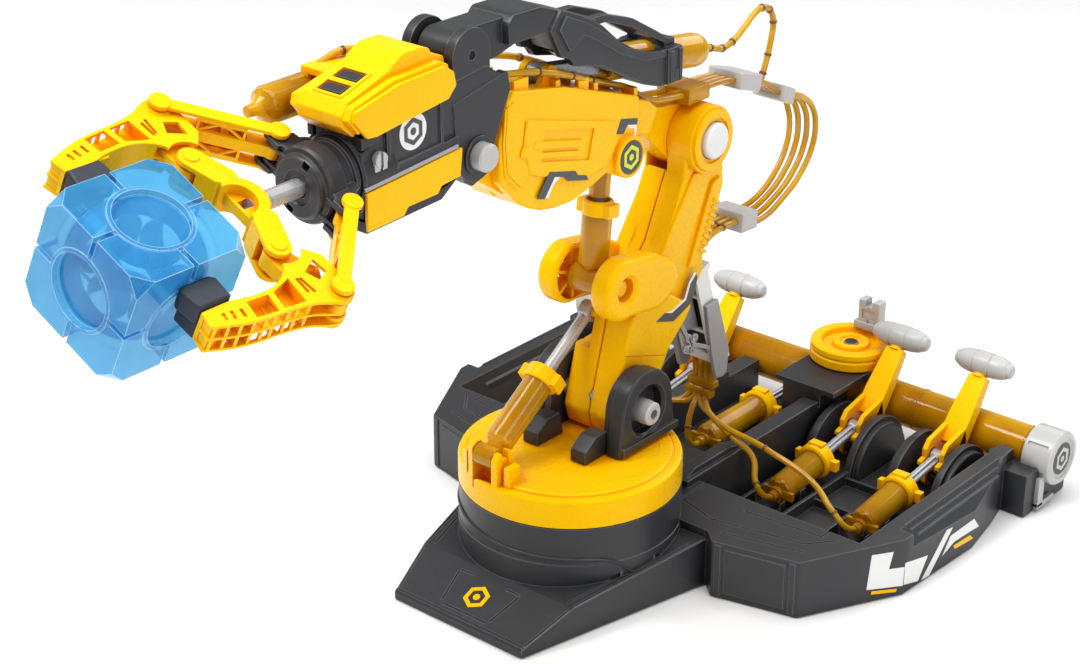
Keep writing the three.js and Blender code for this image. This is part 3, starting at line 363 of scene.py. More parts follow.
PLANES = {
    "X": lambda a, b, t: (t, a, b),
    "Y": lambda a, b, t: (a, t, b),
    "Z": lambda a, b, t: (a, b, t),
}


def prism(axis, outline, low, high, soft=0.0, steps=2):
    """An outline, (y, z) along X, (x, z) along Y or (x, y) along Z, between two planes."""
    at = PLANES[axis]
    return soften(slab([at(a, b, low) for a, b in outline], [at(a, b, high) for a, b in outline]), soft,
        steps)


def rod(axis, a, b, r, low, high, soft=0.0, sides=48):
    """A round solid along an axis."""
    return prism(axis, circle(a, b, r, sides), low, high, soft)


def box(x0, x1, y0, y1, z0, z1, soft=0.0):
    """A box between planes, with softened edges."""
    return prism("Z", [(x0, y0), (x1, y0), (x1, y1), (x0, y1)], z0, z1, soft)


def turned(start, direction, profile, soft=0.0, sides=56):
    """A turned solid; profile points are (radius, distance along the direction)."""
    along = Vector(direction).normalized()
    turn = Vector((0, 0, 1)).rotation_difference(along)
    points, rings = [], []
    for r, t in profile:
        if r < 1e-6:
            rings.append([len(points)])
            points.append(Vector(start) + along * t)
            continue
        ring = []
        for i in range(sides):
            a = math.tau * i / sides
            ring.append(len(points))
            points.append(Vector(start) + turn @ Vector((r * math.cos(a), r * math.sin(a), t)))
        rings.append(ring)
    pairs = list(zip(rings, rings[1:]))
    if profile[0] == profile[-1]:
        pairs[-1] = (rings[-2], rings[0])
    faces = []
    for low, high in pairs:
        for i in range(sides):
            j = (i + 1) % sides
            if len(low) == 1 and len(high) == 1:
                continue
            if len(low) == 1:
                faces.append([low[0], high[j], high[i]])
            elif len(high) == 1:
                faces.append([low[i], low[j], high[0]])
            else:
                faces.append([low[i], low[j], high[j], high[i]])
    return soften(mesh_of([tuple(p) for p in points], faces), soft)


def strut(p, q, half, low, high, soft=0.0, axis="X"):
    """A straight beam between two points of the plane across an axis."""
    da, db = q[0] - p[0], q[1] - p[1]
    length = math.hypot(da, db)
    na, nb = -db / length * half, da / length * half
    outline = [(p[0] + na, p[1] + nb), (p[0] - na, p[1] - nb), (q[0] - na, q[1] - nb),
        (q[0] + na, q[1] + nb)]
    return prism(axis, outline, low, high, soft)


def beam(p, q, half, low, high):
    """A straight beam between two (x, y) points."""
    return strut(p, q, half, low, high, 0.0, "Z")


def drum(start, direction, r, low, high, soft=0.0, sides=56):
    """A plain round solid from one distance to another along a direction."""
    return turned(start, direction, [(0, low), (r, low), (r, high), (0, high)], soft, sides)


def unit_yz(p, q):
    """The direction in an upright plane from one (y, z) point to another."""
    length = math.hypot(q[0] - p[0], q[1] - p[1])
    return (0, (q[0] - p[0]) / length, (q[1] - p[1]) / length)


def mirror_x(thing):
    """Turns a solid into its mirror image on the other side."""
    thing.data.transform(Matrix.Scale(-1, 4, (1, 0, 0)))
    thing.data.flip_normals()
    return thing


def sided(sign, a, b, middle=0):
    """Two distances on one side of a middle, the lower first."""
    return sorted((middle + sign * a, middle + sign * b))


def flip(outline, sign):
    """An outline, or its mirror image when the sign is negative."""
    return [(sign * a, b) for a, b in outline]


def drop(thing):
    """Removes a temporary solid."""
    mesh = thing.data
    bpy.data.objects.remove(thing)
    bpy.data.meshes.remove(mesh)


def carve(base, add=(), cut=(), keep=()):
    """The base joined with some solids, cut by others, and kept only inside the last ones."""
    tools = ([("UNION", t) for t in add] + [("DIFFERENCE", t) for t in cut] +
        [("INTERSECT", t) for t in keep])
    for kind, tool in tools:
        step = base.modifiers.new(kind, "BOOLEAN")
        step.operation = kind
        step.solver = "MANIFOLD"
        step.object = tool
    bpy.context.view_layer.update()
    made = bpy.data.meshes.new_from_object(base.evaluated_get(bpy.context.evaluated_depsgraph_get()))
    base.modifiers.clear()
    old = base.data
    base.data = made
    bpy.data.meshes.remove(old)
    for _, tool in tools:
        drop(tool)
    return base


def merged(*parts):
    """Several closed solids as one object, without a boolean."""
    made = bmesh.new()
    for part in parts:
        made.from_mesh(part.data)
    mesh = bpy.data.meshes.new("solid")
    made.to_mesh(mesh)
    made.free()
    for part in parts:
        drop(part)
    return linked("solid", mesh)


FINISHES = {
    "yellow_plastic": YELLOW,
    "dark_plastic": DARK,
    "grey_plastic": GREY,
    "amber_clear": AMBER,
    "silver_plastic": SILVER,
    "blue_clear": BLUE,
    "soft_rubber": RUBBER,
}
SLOT_OF = {material: slot for slot, material in FINISHES.items()}
SLOT_OF.update({HOSE: "amber_clear", WATER: "amber_clear", BAND: "amber_clear", WHITE: "grey_plastic",
        STEEL: "grey_plastic", INK: "dark_plastic", LIME: "yellow_plastic", SEAL: "soft_rubber"})
NODE_SLOT = {p["node"]: p["material_slot"] for p in frame["record"]["subparts"]}
SIDES = (("near", 1), ("far", -1))
replaced = set()


def piece(name, thing, material, body, *nodes, angle=32, at=None):
    """Names a solid, smooths its shading and lets it ride on a body in place of CAD nodes."""
    if at is not None:
        thing.data.transform(at)
    thing.name = thing.data.name = name
    mesh = thing.data
    mesh.materials.clear()
    mesh.materials.append(material)
    mesh.shade_smooth()
    mesh.set_sharp_from_angle(angle=math.radians(angle))
    weigh = thing.modifiers.new("flat faces first", "WEIGHTED_NORMAL")
    weigh.mode = "FACE_AREA"
    weigh.weight = 50
    weigh.keep_sharp = True
    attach(thing, body)
    if nodes:
        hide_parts(*nodes)
        replaced.update(nodes)
    return thing


def body_of(node):
    """The body a CAD node belongs to."""
    return NODES[node]["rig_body"]


def copied(node):
    """A copy of a CAD node's mesh."""
    thing = linked("solid", NODES[node].data.copy())
    made = bmesh.new()
    made.from_mesh(thing.data)
    bmesh.ops.remove_doubles(made, verts=made.verts, dist=1e-6)
    made.to_mesh(thing.data)
    made.free()
    return thing


def tube(name, route, radius, material, body):
    """A round hose along a smooth route of points."""
    curve = bpy.data.curves.new(name, "CURVE")
    curve.dimensions = "3D"
    curve.bevel_depth = radius * MM
    curve.bevel_resolution = 4
    curve.resolution_u = 8
    curve.use_fill_caps = True
    spline = curve.splines.new("BEZIER")
    spline.bezier_points.add(len(route) - 1)
    for knot, point in zip(spline.bezier_points, route):
        knot.co = [c * MM for c in point]
        knot.handle_left_type = knot.handle_right_type = "AUTO"
    made = linked(name, curve)
    bpy.context.view_layer.update()
    mesh = bpy.data.meshes.new_from_object(made.evaluated_get(bpy.context.evaluated_depsgraph_get()))
    bpy.data.objects.remove(made)
    thing = linked(name, mesh)
    mesh.materials.clear()
    mesh.materials.append(material)
    mesh.shade_smooth()
    if body:
        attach(thing, body)
    return thing


def hexagon(a, b, r):
    """The corners of a hexagon."""
    return arc(a, b, r, 30, 330, 5)


def mark(name, axis, a, b, level, radius, body, disc, ink, facing=1, at=None):
    """A plain mark on a round field: a hexagon outline with a dot."""
    if disc is not None:
        piece(name + "_field", rod(axis, a, b, radius, *sided(facing, -0.3, 0.25, level), 0.1), disc,
            body, at=at)
    ring = carve(prism(axis, hexagon(a, b, radius * 0.76), *sided(facing, 0.0, 0.42, level)),
        cut=[prism(axis, hexagon(a, b, radius * 0.50), *sided(facing, -1, 1, level))])
    dot = rod(axis, a, b, radius * 0.2, *sided(facing, 0.0, 0.42, level), 0, 24)
    piece(name + "_mark", merged(ring, dot), ink, body, at=at)


def sticker(name, outline, sign, level, thick, material, body):
    """A thin sheet on a side face, (y, z) points at a distance from the middle."""
    piece(name, prism("X", outline, *sided(sign, level - 0.1, level + thick)), material, body)


# ---- console base ---------------------------------------------------------------------------
DRUM_R, DRUM_TOP, DECK_TOP, FLOOR_Z = 45, 40, 25.5, 4
LEVER_XS = (86, 44, -44, -86)
PIVOT_Y, PIVOT_Z = 143, 8.5
PIN_Y, PIN_Z = 143, 19
GUARD_R = 22
TILT = math.radians(7.2)
PLUNGER_DIR = (0, -math.cos(TILT), -math.sin(TILT))
TANK_Y, TANK_Z = 171.5, 21.5
WHEEL_X, WHEEL_Y = 19.5, 174.5
NOSE_SIDE = [(-69, 0), (-69, 3.6), (-45, 13.5), (19.8, 21.5), (44, 24), (44, 0)]
WING_RIM = [(54.3, 19.8), (60.8, 14.2), (96.9, 22.8), (118.8, 64.7), (121.2, 114.7), (117, 137),
    (112.7, 154.6), (112.7, 160)]


def both(outline):
    """One half of an outline and its mirror image."""
    return outline + flip(outline, -1)[::-1]


def on_slope(p, q):
    """The matrix from (x, distance up the slope, height) to the slope between two (y, z) points."""
    tilt = math.atan2(q[1] - p[1], q[0] - p[0])
    return Matrix.Translation((0, p[0] * MM, p[1] * MM)) @ Matrix.Rotation(tilt, 4, "X")


FRONT_SLOPE = on_slope(NOSE_SIDE[1], NOSE_SIDE[2])
REAR_SLOPE = on_slope(NOSE_SIDE[2], NOSE_SIDE[3])


def moved(thing, matrix):
    """Moves a solid by a matrix."""
    thing.data.transform(matrix)
    return thing


def console_hull():
    """The nose, the deck and the drum under the turntable."""
    plan = both([(33.5, -69), (54.3, 19.8), (54.3, 44)])
    nose = soften(carve(prism("X", NOSE_SIDE, -56, 56), keep=[prism("Z", plan, -1, 30)]), 0.9)
    deck = prism("Z", both(WING_RIM), 0, DECK_TOP, 0.8)
    drum = rod("Z", 0, 0, DRUM_R, 0, DRUM_TOP, 0, 120)
    belt = rod("Z", 0, 0, DRUM_R + 0.35, 0, 24, 0.3, 120)
    return carve(nose, [deck, drum, belt])


def guard(x):
    """The rounded fins on both sides of a lever, with its pivot pin."""
    y, z = PIVOT_Y, 5
    parts = []
    for s in (-1, 1):
        fin = arc(y, z, GUARD_R, 0, 180, 32) + [(y - GUARD_R, FLOOR_Z - 1), (y + GUARD_R, FLOOR_Z - 1)]
        parts.append(prism("X", fin, *sided(s, 8.8, 12.2, x), 0.6))
        inner = GUARD_R - 2.4
        rib = arc(y, z, inner, 0, 180, 32) + [(y - inner, FLOOR_Z - 1), (y + inner, FLOOR_Z - 1)]
        parts.append(prism("X", rib, *sided(s, 11.4, 14.6, x), 1.0, 3))
    parts.append(rod("X", PIVOT_Y, PIVOT_Z, 2, x - 10.5, x + 10.5))
    return parts


def groove(points, width, low, high):
    """Thin cutters along a polyline seen from above."""
    solids = []
    for (x0, y0), (x1, y1) in zip(points, points[1:]):
        length = math.hypot(x1 - x0, y1 - y0)
        ex, ey = (x1 - x0) / length * width / 2, (y1 - y0) / length * width / 2
        solids.append(beam((x0 - ex, y0 - ey), (x1 + ex, y1 + ey), width / 2, low, high))
    return solids


def wing_tools(sign):
    """What one wing loses: its pocket, the slanted outer bank, the panel slot and thin lines."""
    section = [(28, FLOOR_Z), (97, FLOOR_Z), (107, 27), (28, 27)]
    length = [(50, 27), (56, FLOOR_Z), (161, FLOOR_Z), (161, 27)]
    pocket = carve(prism("Y", section, 46, 161), keep=[prism("X", length, 20, 110)])
    bank = prism("Y", [(111.5, 26.5), (124, 15.4), (124, 27)], 70, 152)
    tools = [pocket, bank, prism("Z", [(68.5, 12), (89.5, 17), (88.9, 19.6), (68, 14.6)], 9, 16)]
    for line in ([(31, 53), (31, 34), (50, 28), (90, 36), (98, 46)], [(60, 22), (93, 30.5)],
            [(57, 42), (92, 45), (92, 51)]):
        tools += groove(line, 0.8, DECK_TOP - 0.6, DECK_TOP + 1)
    tools += [box(29.5, 31.5, 70, 130, 26.4, 30)]
    return [t if sign > 0 else mirror_x(t) for t in tools]


def wing_details(sign):
    """What one wing gains: walls, rails on the pocket floor, ridges and dots on the bank."""
    parts = [box(20, 28, 42, 137, 8, 28.5, 0.6),
        prism("X", [(42, 28), (50, 31), (74, 31), (86, 28)], 20, 26, 0.6),
        box(103, 125, 150, 185, 0, 20, 0.8), box(104.5, 112, 152, 156, 18, 25, 0.5)]
    for x, top in ((33.2, 9.5), (54.4, 9.5), (75.4, 9.5), (96.0, 7.5)):
        parts.append(box(x - 0.9, x + 0.9, 57, 122, FLOOR_Z - 1, top, 0.3))
    for y in (70, 96, 120):
        parts.append(box(54.4, 75.4, y - 0.7, y + 0.7, FLOOR_Z - 1, 7.6, 0.2))
    for i, x in enumerate((112.4, 114.6, 116.8)):
        z = 26.5 - (x - 111.5) * 0.888
        parts.append(box(x - 0.5, x + 0.5, 73 + 2 * i, 146 - 3 * i, z - 2, z + 0.45, 0.2))
    parts.append(prism("Y", [(104.3, 19.6), (105.3, 21.9), (103.6, 21.2), (103.2, 19.4)], 66, 120, 0.2))
    parts.append(prism("Y", [(98.9, 7.2), (100.2, 10.4), (98.6, 9.6), (98.2, 7.6)], 62, 120, 0.2))
    for i in range(5):
        dot = turned((101.6, 94.5 + 9 * i, 15.2), (-0.917, 0, 0.399),
            [(0, -0.6), (1.1, -0.4), (1.0, 0.5), (0, 0.8)], 0.15, 20)
        parts.append(dot)
    for (x0, y0), (x1, y1) in (((62.2, 14.6), (64.8, 15.2)), ((92.8, 21.9), (95.4, 22.5))):
        outline = [(x0 + 0.2, y0 - 0.7), (x1 + 0.2, y1 - 0.7), (x1 - 0.3, y1 + 2), (x0 - 0.3, y0 + 2)]
        parts.append(prism("Z", outline, 1.4, 24.4, 0.3))
    panel = [(66.4, 14.9), (91.4, 20.8), (91.1, 22.4), (66.1, 16.5)]
    parts.append(prism("Z", panel, 3, 23, 0.4))
    return [p if sign > 0 else mirror_x(p) for p in parts]


def slope_lines(slope, points):
    """Thin cutters along a line on a slope."""
    return [moved(t, slope) for t in groove(points, 0.8, -0.55, 2)]


def console():
    """The whole console shell with its guards, pockets and bores."""
    details, tools = [], []
    for sign in (1, -1):
        tools += wing_tools(sign)
        details += wing_details(sign)
    tools.append(box(-20, 20, 69, 161, 10.5, 27))
    for a, b in (((-11, 4.6), (11, 4.6)), ((12.6, 6.2), (15.4, 20.4)), ((-12.6, 6.2), (-15.4, 20.4)),
            ((9, 21.6), (15, 21.6)), ((-15, 21.6), (-9, 21.6))):
        tools += slope_lines(FRONT_SLOPE, [a, b])
    for sign in (1, -1):
        for x0, x1, y0, y1 in ((38.4, 50.6, 2, 58), (35.0, 45.5, 2, 46)):
            tools += slope_lines(REAR_SLOPE, [(sign * x0, y0), (sign * x1, y1)])
        tools += slope_lines(FRONT_SLOPE, [(sign * 33.0, 3), (sign * 37.4, 23)])
    shell = carve(console_hull(), cut=tools)
    details += [box(-22, 22, 44, 69, 10, 27.5, 0.5), rod("X", -67.6, 3.3, 1.5, -33.2, 33.2, 0.5, 24)]
    for x in LEVER_XS:
        details += guard(x)
        for y in (94, 79):
            details.append(box(x - 6.5, x + 6.5, y - 2, y + 2, FLOOR_Z - 1, 11, 0.3))
    details += [box(8, 28, 138, 160, 10, 33, 0.5), box(4, 35, 138, WHEEL_Y, 31.6, 34.3, 0.5),
        rod("Z", WHEEL_X, WHEEL_Y, 16, 31.6, 34.3, 0.5, 64), rod("Z", WHEEL_X, WHEEL_Y, 3, 32, 42, 0.4)]
    cutters = [rod("Z", 0, 0, 8.6, 28, DRUM_TOP + 1), rod("X", TANK_Y, TANK_Z, 9.8, -140, 140, 0, 64),
        drum((0, 165, 19), (0, -1, 0), 6.3, 20, 80)]
    for low, high in ((115.6, 140), (-140, -115.6)):
        cutters.append(rod("X", TANK_Y, TANK_Z, 12.3, low, high, 0, 64))
    for x in LEVER_XS:
        cutters.append(drum((x, PIN_Y, PIN_Z), PLUNGER_DIR, 6.3, 20, 70))
    return carve(shell, details, cutters)


piece("console_shell", console(), DARK, "base", "base_shell")

WAVE = [(-62, 33), (-40, 31.5), (-20, 29.6), (0, 28), (20, 27.2), (40, 26.6), (54, 26), (62, 24),
    (68, 20.5), (72, 17.5)]
tube("drum_ridge", [(45 * math.sin(math.radians(a)), -45 * math.cos(math.radians(a)), z) for a,
        z in WAVE], 0.75, DARK, "base")
mark("nose", "Z", 0, 13, 0, 7.4, "base", None, YELLOW, at=FRONT_SLOPE)


def wall_sticker(name, p, q, outline, material, sign):
    """A sticker on an upright wall of the wing between two plan points; outline is (distance, height)."""
    length = math.hypot(q[0] - p[0], q[1] - p[1])
    ux, uy = (q[0] - p[0]) / length, (q[1] - p[1]) / length
    nx, ny = uy, -ux
    low, high = ([(sign * (p[0] + ux * s + nx * off), p[1] + uy * s + ny * off, z) for s, z in outline]
        for off in (-0.1, 0.13))
    piece(name, slab(low, high), material, "base")


FORE_WALL, MID_WALL = WING_RIM[2:4], WING_RIM[3:5]
STRIPES = [
    (FORE_WALL, WHITE, [(32, 21.8), (41.8, 21.2), (40.2, 13.6), (47.4, 13), (47.2, 4.4), (30.6, 6.2)]),
    (MID_WALL, WHITE, [(0.5, 14.6), (16.5, 11.2), (10.6, 1.8), (0.5, 4.6)]),
    (FORE_WALL, YELLOW, [(33, 5), (44.6, 3.6), (44.2, 2.2), (32.8, 3.6)]),
    (MID_WALL, WHITE, [(13.2, 1.2), (18.6, 0.8), (33.5, 17), (29.2, 17.6)]),
    (MID_WALL, WHITE, [(27.4, 6.2), (32.4, 13.4), (49.5, 14.2), (53.6, 9), (48.8, 9.2), (35.5, 9.4)]),
    (MID_WALL, YELLOW, [(35.2, 7.6), (47.4, 7.4), (50, 4.8), (44.8, 5), (36.4, 5.6)]),
]
for side, sign in SIDES:
    for i, (wall, material, outline) in enumerate(STRIPES, 1):
        wall_sticker(f"stripe_{side}_{i}", *wall, outline, material, sign)

# ---- tank -------------------------------------------------------------------------------------
tank = carve(drum((-124, TANK_Y, TANK_Z), (1, 0, 0), 9.5, 0, 248, 0.2, 64),
    cut=[rod("X", TANK_Y, TANK_Z, 8.2, -130, 130, 0, 64)])
piece("tank_glass", tank, AMBER, "base", "tank_tube")
piece("tank_water", rod("X", TANK_Y, TANK_Z, 8.1, -118, 118, 0.3, 64), WATER, "base")
for x in (-113.5, 113.5, -60, 60):
    piece(f"tank_band_{x}", carve(rod("X", TANK_Y, TANK_Z, 9.75, x - 0.7, x + 0.7, 0.2, 64),
            cut=[rod("X", TANK_Y, TANK_Z, 9.4, x - 2, x + 2, 0, 64)]), AMBER, "base")
for side, sign in SIDES:
    profile = [(0, 0.9), (8.6, 0.9), (9.2, 0), (10.9, 0), (12, 1.3), (12, 13.6), (11.6, 14), (9.8, 14),
        (9.8, 5.7), (0, 5.7)]
    cap = turned((sign * 130, TANK_Y, TANK_Z), (-sign, 0, 0), profile, 0.25, 72)
    grips = []
    for i in range(6):
        grips.append(rod("X", *polar(TANK_Y, TANK_Z, 12, 20 + 60 * i), 0.8, *sided(sign, 117.5, 127), 0,
                16))
    piece(f"tank_lid_{side}", carve(cap, cut=grips), GREY, "base", f"tank_cap_{side}")
    mark(f"tank_{side}", "X", TANK_Y, TANK_Z, sign * 129.1, 7.2, "base", DARK, GREY, sign)
    piece(f"tank_foot_{side}", merged(box(*sided(sign, 117, 127), 158, 162.5, 2, 16, 0.4),
            box(*sided(sign, 117, 127), 158, 172, 1, 4, 0.4)), GREY, "base")


# ---- hydraulic cylinders ----------------------------------------------------------------------
def at_distance(start, direction, t):
    """A point some way along a direction."""
    return tuple(s + d * t for s, d in zip(start, Vector(direction).normalized()))


def master_cylinder(name, pin, direction, mouth, length, body, node):
    """A clear console cylinder: barrel, yellow collar with ears at its mouth, and a cross-shaped foot."""
    end = mouth + length
    barrel = carve(turned(pin, direction,
            [(0, mouth + 0.5), (6, mouth + 0.5), (6, end - 2.2), (5.2, end - 0.6), (2.2, end),
                (2.2, end + 5), (0, end + 5)], 0.2), cut=[drum(pin, direction, 4.7, mouth - 1, end - 2.5)])
    piece(name + "_glass", barrel, AMBER, body, node)
    ring = turned(pin, direction, [(4.75, mouth - 0.4), (7.9, mouth - 0.4), (7.9, mouth + 5),
            (6.9, mouth + 5.6), (6.05, mouth + 5.6), (6.05, mouth + 1), (4.75, mouth + 1),
            (4.75, mouth - 0.4)], 0.2)
    x, y, z = at_distance(pin, direction, mouth + 1.6)
    ears = [box(x + s * 8.9 - 1.7, x + s * 8.9 + 1.7, y - 1.6, y + 1.6, z - 2.6, z + 2.2, 0.4)
        for s in (-1, 1)]
    crest = box(x - 3.4, x + 3.4, y - 2.6, y + 1.6, z + 6.6, z + 8.4, 0.4)
    piece(name + "_collar", merged(ring, crest, *ears), YELLOW, body)
    x, y, z = at_distance(pin, direction, end - 0.4)
    foot = [box(x - 7.6, x + 7.6, y - 1, y + 1, z - 2.4, z + 1.2, 0.3),
        box(x - 1.4, x + 1.4, y - 1.4, y + 1, z - 5.2, z + 5, 0.3),
        drum(pin, direction, 3.1, end + 0.4, end + 2.2, 0.2, 24)]
    piece(name + "_foot", merged(*foot), AMBER, body)


def plunger_piece(name, pin, direction, reach, material, body, node, extra=()):
    """A cross-shaped plunger rod with its piston and dark seal."""
    bar = turned(pin, direction, [(0, 0), (2.4, 0), (2.4, reach + 0.5), (4.2, reach + 0.5),
            (4.2, reach + 5), (0, reach + 5)], 0.15, 40)
    flutes = []
    side = Vector((1, 0, 0))
    rise = Vector(direction).cross(side).normalized()
    for a in (45, 135, 225, 315):
        out = side * math.cos(math.radians(a)) + rise * math.sin(math.radians(a))
        origin = Vector(pin) + out * 2.55
        flutes.append(drum(tuple(origin), direction, 1.05, 3.6, reach - 1.5, 0, 16))
    piece(name + "_bar", carve(bar, cut=flutes), material, body, node)
    seal = turned(pin, direction, [(4.1, reach + 1.8), (4.55, reach + 2.2), (4.55, reach + 3.4),
            (4.1, reach + 3.8), (4.1, reach + 1.8)], 0, 40)
    piece(name + "_seal", seal, SEAL, body)
    for i, part in enumerate(extra):
        piece(f"{name}_eye{i}", part, material, body)


for i, x in enumerate(LEVER_XS, 1):
    pin = (x, PIN_Y, PIN_Z)
    master_cylinder(f"console_cylinder_{i}", pin, PLUNGER_DIR, 28, 31, "base", f"lever_barrel_{i}")
    eyes = [rod("X", PIN_Y, PIN_Z, 3, x - 2.6, x + 2.6, 0.3),
        rod("X", PIN_Y, PIN_Z, 1.6, x - 7, x + 7, 0.3, 32)]
    plunger_piece(f"console_plunger_{i}", pin, PLUNGER_DIR, 42, SILVER, f"plunger_{i}",
        f"lever_plunger_{i}", eyes)
master_cylinder("wheel_cylinder", (0, 165, 19), (0, -1, 0), 30, 43, "base", "wheel_barrel")
plunger_piece("rack", (0, 156, 19), (0, -1, 0), 37, SILVER, "wheel_plunger", "wheel_plunger")

# ---- levers -----------------------------------------------------------------------------------
HANDLE_Y, HANDLE_Z = 176.8, 50.6
LEVER_LEN = math.hypot(HANDLE_Y - PIVOT_Y, HANDLE_Z - PIVOT_Z)
LEVER_UP = ((HANDLE_Y - PIVOT_Y) / LEVER_LEN, (HANDLE_Z - PIVOT_Z) / LEVER_LEN)


def along(t, off=0.0):
    """A (y, z) point up the lever, off to its front by some distance."""
    return (PIVOT_Y + LEVER_UP[0] * t - LEVER_UP[1] * off, PIVOT_Z + LEVER_UP[1] * t + LEVER_UP[0] * off)


def lever_shape(x):
    """A tapering blade with a fork at its foot and a slotted ear for the plunger's pin."""
    blade = prism("X", [along(16, 3.6), along(16, -3.4), along(LEVER_LEN - 6, -2.2),
            along(LEVER_LEN - 6, 2.2), along(30, 3.2)], x - 5.4, x + 5.4)
    taper = []
    for s in (-1, 1):
        face = [(x + s * 5.6, 30), (x + s * 3.9, 52), (x + s * 9, 52), (x + s * 9, 30)]
        taper.append(prism("Y", face, 130, 190))
    blade = soften(carve(blade, cut=taper), 0.45)
    legs = []
    for s in (-1, 1):
        low, high = sided(s, 3.1, 5.4, x)
        outline = [along(-3.6, 2.4), along(-4.4, 0), along(-3.6, -2.4), along(2, -4.0), along(18, -3.4),
            along(24, 3.4), (PIN_Y - 1.5, PIN_Z + 7.5), (PIN_Y - 4.6, PIN_Z + 4), (PIN_Y - 4.6, PIN_Z - 3)]
        legs.append(prism("X", outline, low, high, 0.3))
        slot = prism("X", [(PIN_Y - 2, PIN_Z - 2.6), (PIN_Y + 2, PIN_Z - 2.6), (PIN_Y + 2, PIN_Z + 3.2),
                (PIN_Y - 2, PIN_Z + 3.2)], low - 1, high + 1)
        legs[-1] = carve(legs[-1], cut=[slot, rod("X", PIVOT_Y, PIVOT_Z, 2.4, low - 1, high + 1)])
        legs.append(prism("X", [(PIN_Y - 4.9, PIN_Z - 3.2), (PIN_Y - 8.2, PIN_Z - 2.2),
                    (PIN_Y - 8.2, PIN_Z - 0.4), (PIN_Y - 4.9, PIN_Z + 0.6)], low, high, 0.3))
    collar = turned((x, *along(LEVER_LEN - 6.6)), (0, *LEVER_UP),
        [(0, 0), (3.4, 0), (3.1, 1.6), (1.7, 2), (1.6, 5.4), (0, 5.4)], 0.2, 32)
    return merged(blade, collar, *legs)


GRIP_PROFILE = [(0, -15), (1.5, -14.9), (2.5, -14.3), (3.1, -13.2), (3.3, -12.2), (3.6, -12.0),
    (4.3, -10), (4.75, -6.8), (4.85, -4.6), (4.55, -4.4), (4.55, -3.9), (4.95, -3.6), (5.0, 0),
    (4.95, 3.6), (4.55, 3.9), (4.55, 4.4), (4.85, 4.6), (4.75, 6.8), (4.3, 10), (3.6, 12.0), (3.3, 12.2),
    (3.1, 13.2), (2.5, 14.3), (1.5, 14.9), (0, 15)]
for i, x in enumerate(LEVER_XS, 1):
    piece(f"lever_blade_{i}", lever_shape(x), YELLOW, f"lever_{i}", f"lever_{i}")
    grip = turned((x, HANDLE_Y, HANDLE_Z), (1, 0, 0), [(r * 1.1, t * 0.94) for r, t in GRIP_PROFILE],
        0.12, 64)
    neck = turned((x, HANDLE_Y, HANDLE_Z), (0, -LEVER_UP[0], -LEVER_UP[1]),
        [(0, 3), (3.0, 3), (2.5, 6.4), (0, 6.4)], 0.2, 40)
    piece(f"lever_grip_{i}", carve(grip, [neck]), GREY, f"lever_{i}", f"lever_handle_{i}")

wheel_profile = [(3.4, 34.7), (18.1, 34.7), (18.5, 35.2), (18.5, 38.6), (17.9, 39.1), (17.9, 39.8),
    (18.4, 40.3), (18.2, 42.4), (17.4, 43), (13.8, 43), (13.2, 42.4), (12.6, 40.3), (8.8, 40.3),
    (8.2, 41.9), (7.6, 42.4), (5.4, 42.4), (4.9, 41.2), (3.4, 41.2), (3.4, 34.7)]
disc = turned((WHEEL_X, WHEEL_Y, 0), (0, 0, 1), wheel_profile, 0.15, 96)
piece("wheel_disc", disc, YELLOW, "wheel", "wheel")
piece("wheel_hub", turned((WHEEL_X, WHEEL_Y, 40.6), (0, 0, 1),
        [(0, 0), (3.2, 0), (3.2, 1.0), (1.6, 1.2), (1.3, 0.6), (0, 0.6)], 0.1, 40), SILVER, "wheel")
gx, gy = WHEEL_X + 0.9, WHEEL_Y + 14.5
crank = carve(box(gx - 5.5, gx + 5.5, gy - 3, gy + 3, 43.3, 57.5, 0.6),
    [box(gx - 7, gx + 7, gy - 4, gy + 4, 43.3, 47, 0.5)],
    [box(gx - 2, gx + 2, gy - 5, gy + 5, 54.4, 63),
        box(gx - 3.4, gx + 3.4, gy - 4.6, gy - 2.4, 48.6, 53),
        box(gx - 0.5, gx + 0.5, gy - 3.6, gy - 2.6, 46, 55)])
piece("wheel_crank", crank, GREY, "wheel", "wheel_grip")

# ---- turntable --------------------------------------------------------------------------------
TABLE_TOP = 53.2
BOOM_AT, YOKE_AT, SHOULDER_AT = (18, 69), (12.5, 121.5), (71, 166)
BOOM_CYL_X, BOOM_CYL_FOOT, BOOM_ROD_EYE = -9, (-39, 61), (22, 102)
FORE_ROD_EYE, WRIST_AT = (18.4, 174.1), (-68, 200)
LINK_AT, LINK_ROD_EYE, LINK_REAR = (-69, 236.3), (-20, 214.5), (72.6, 200)
GRIP_Z, GRIP_ROLL = 206.5, math.radians(27)


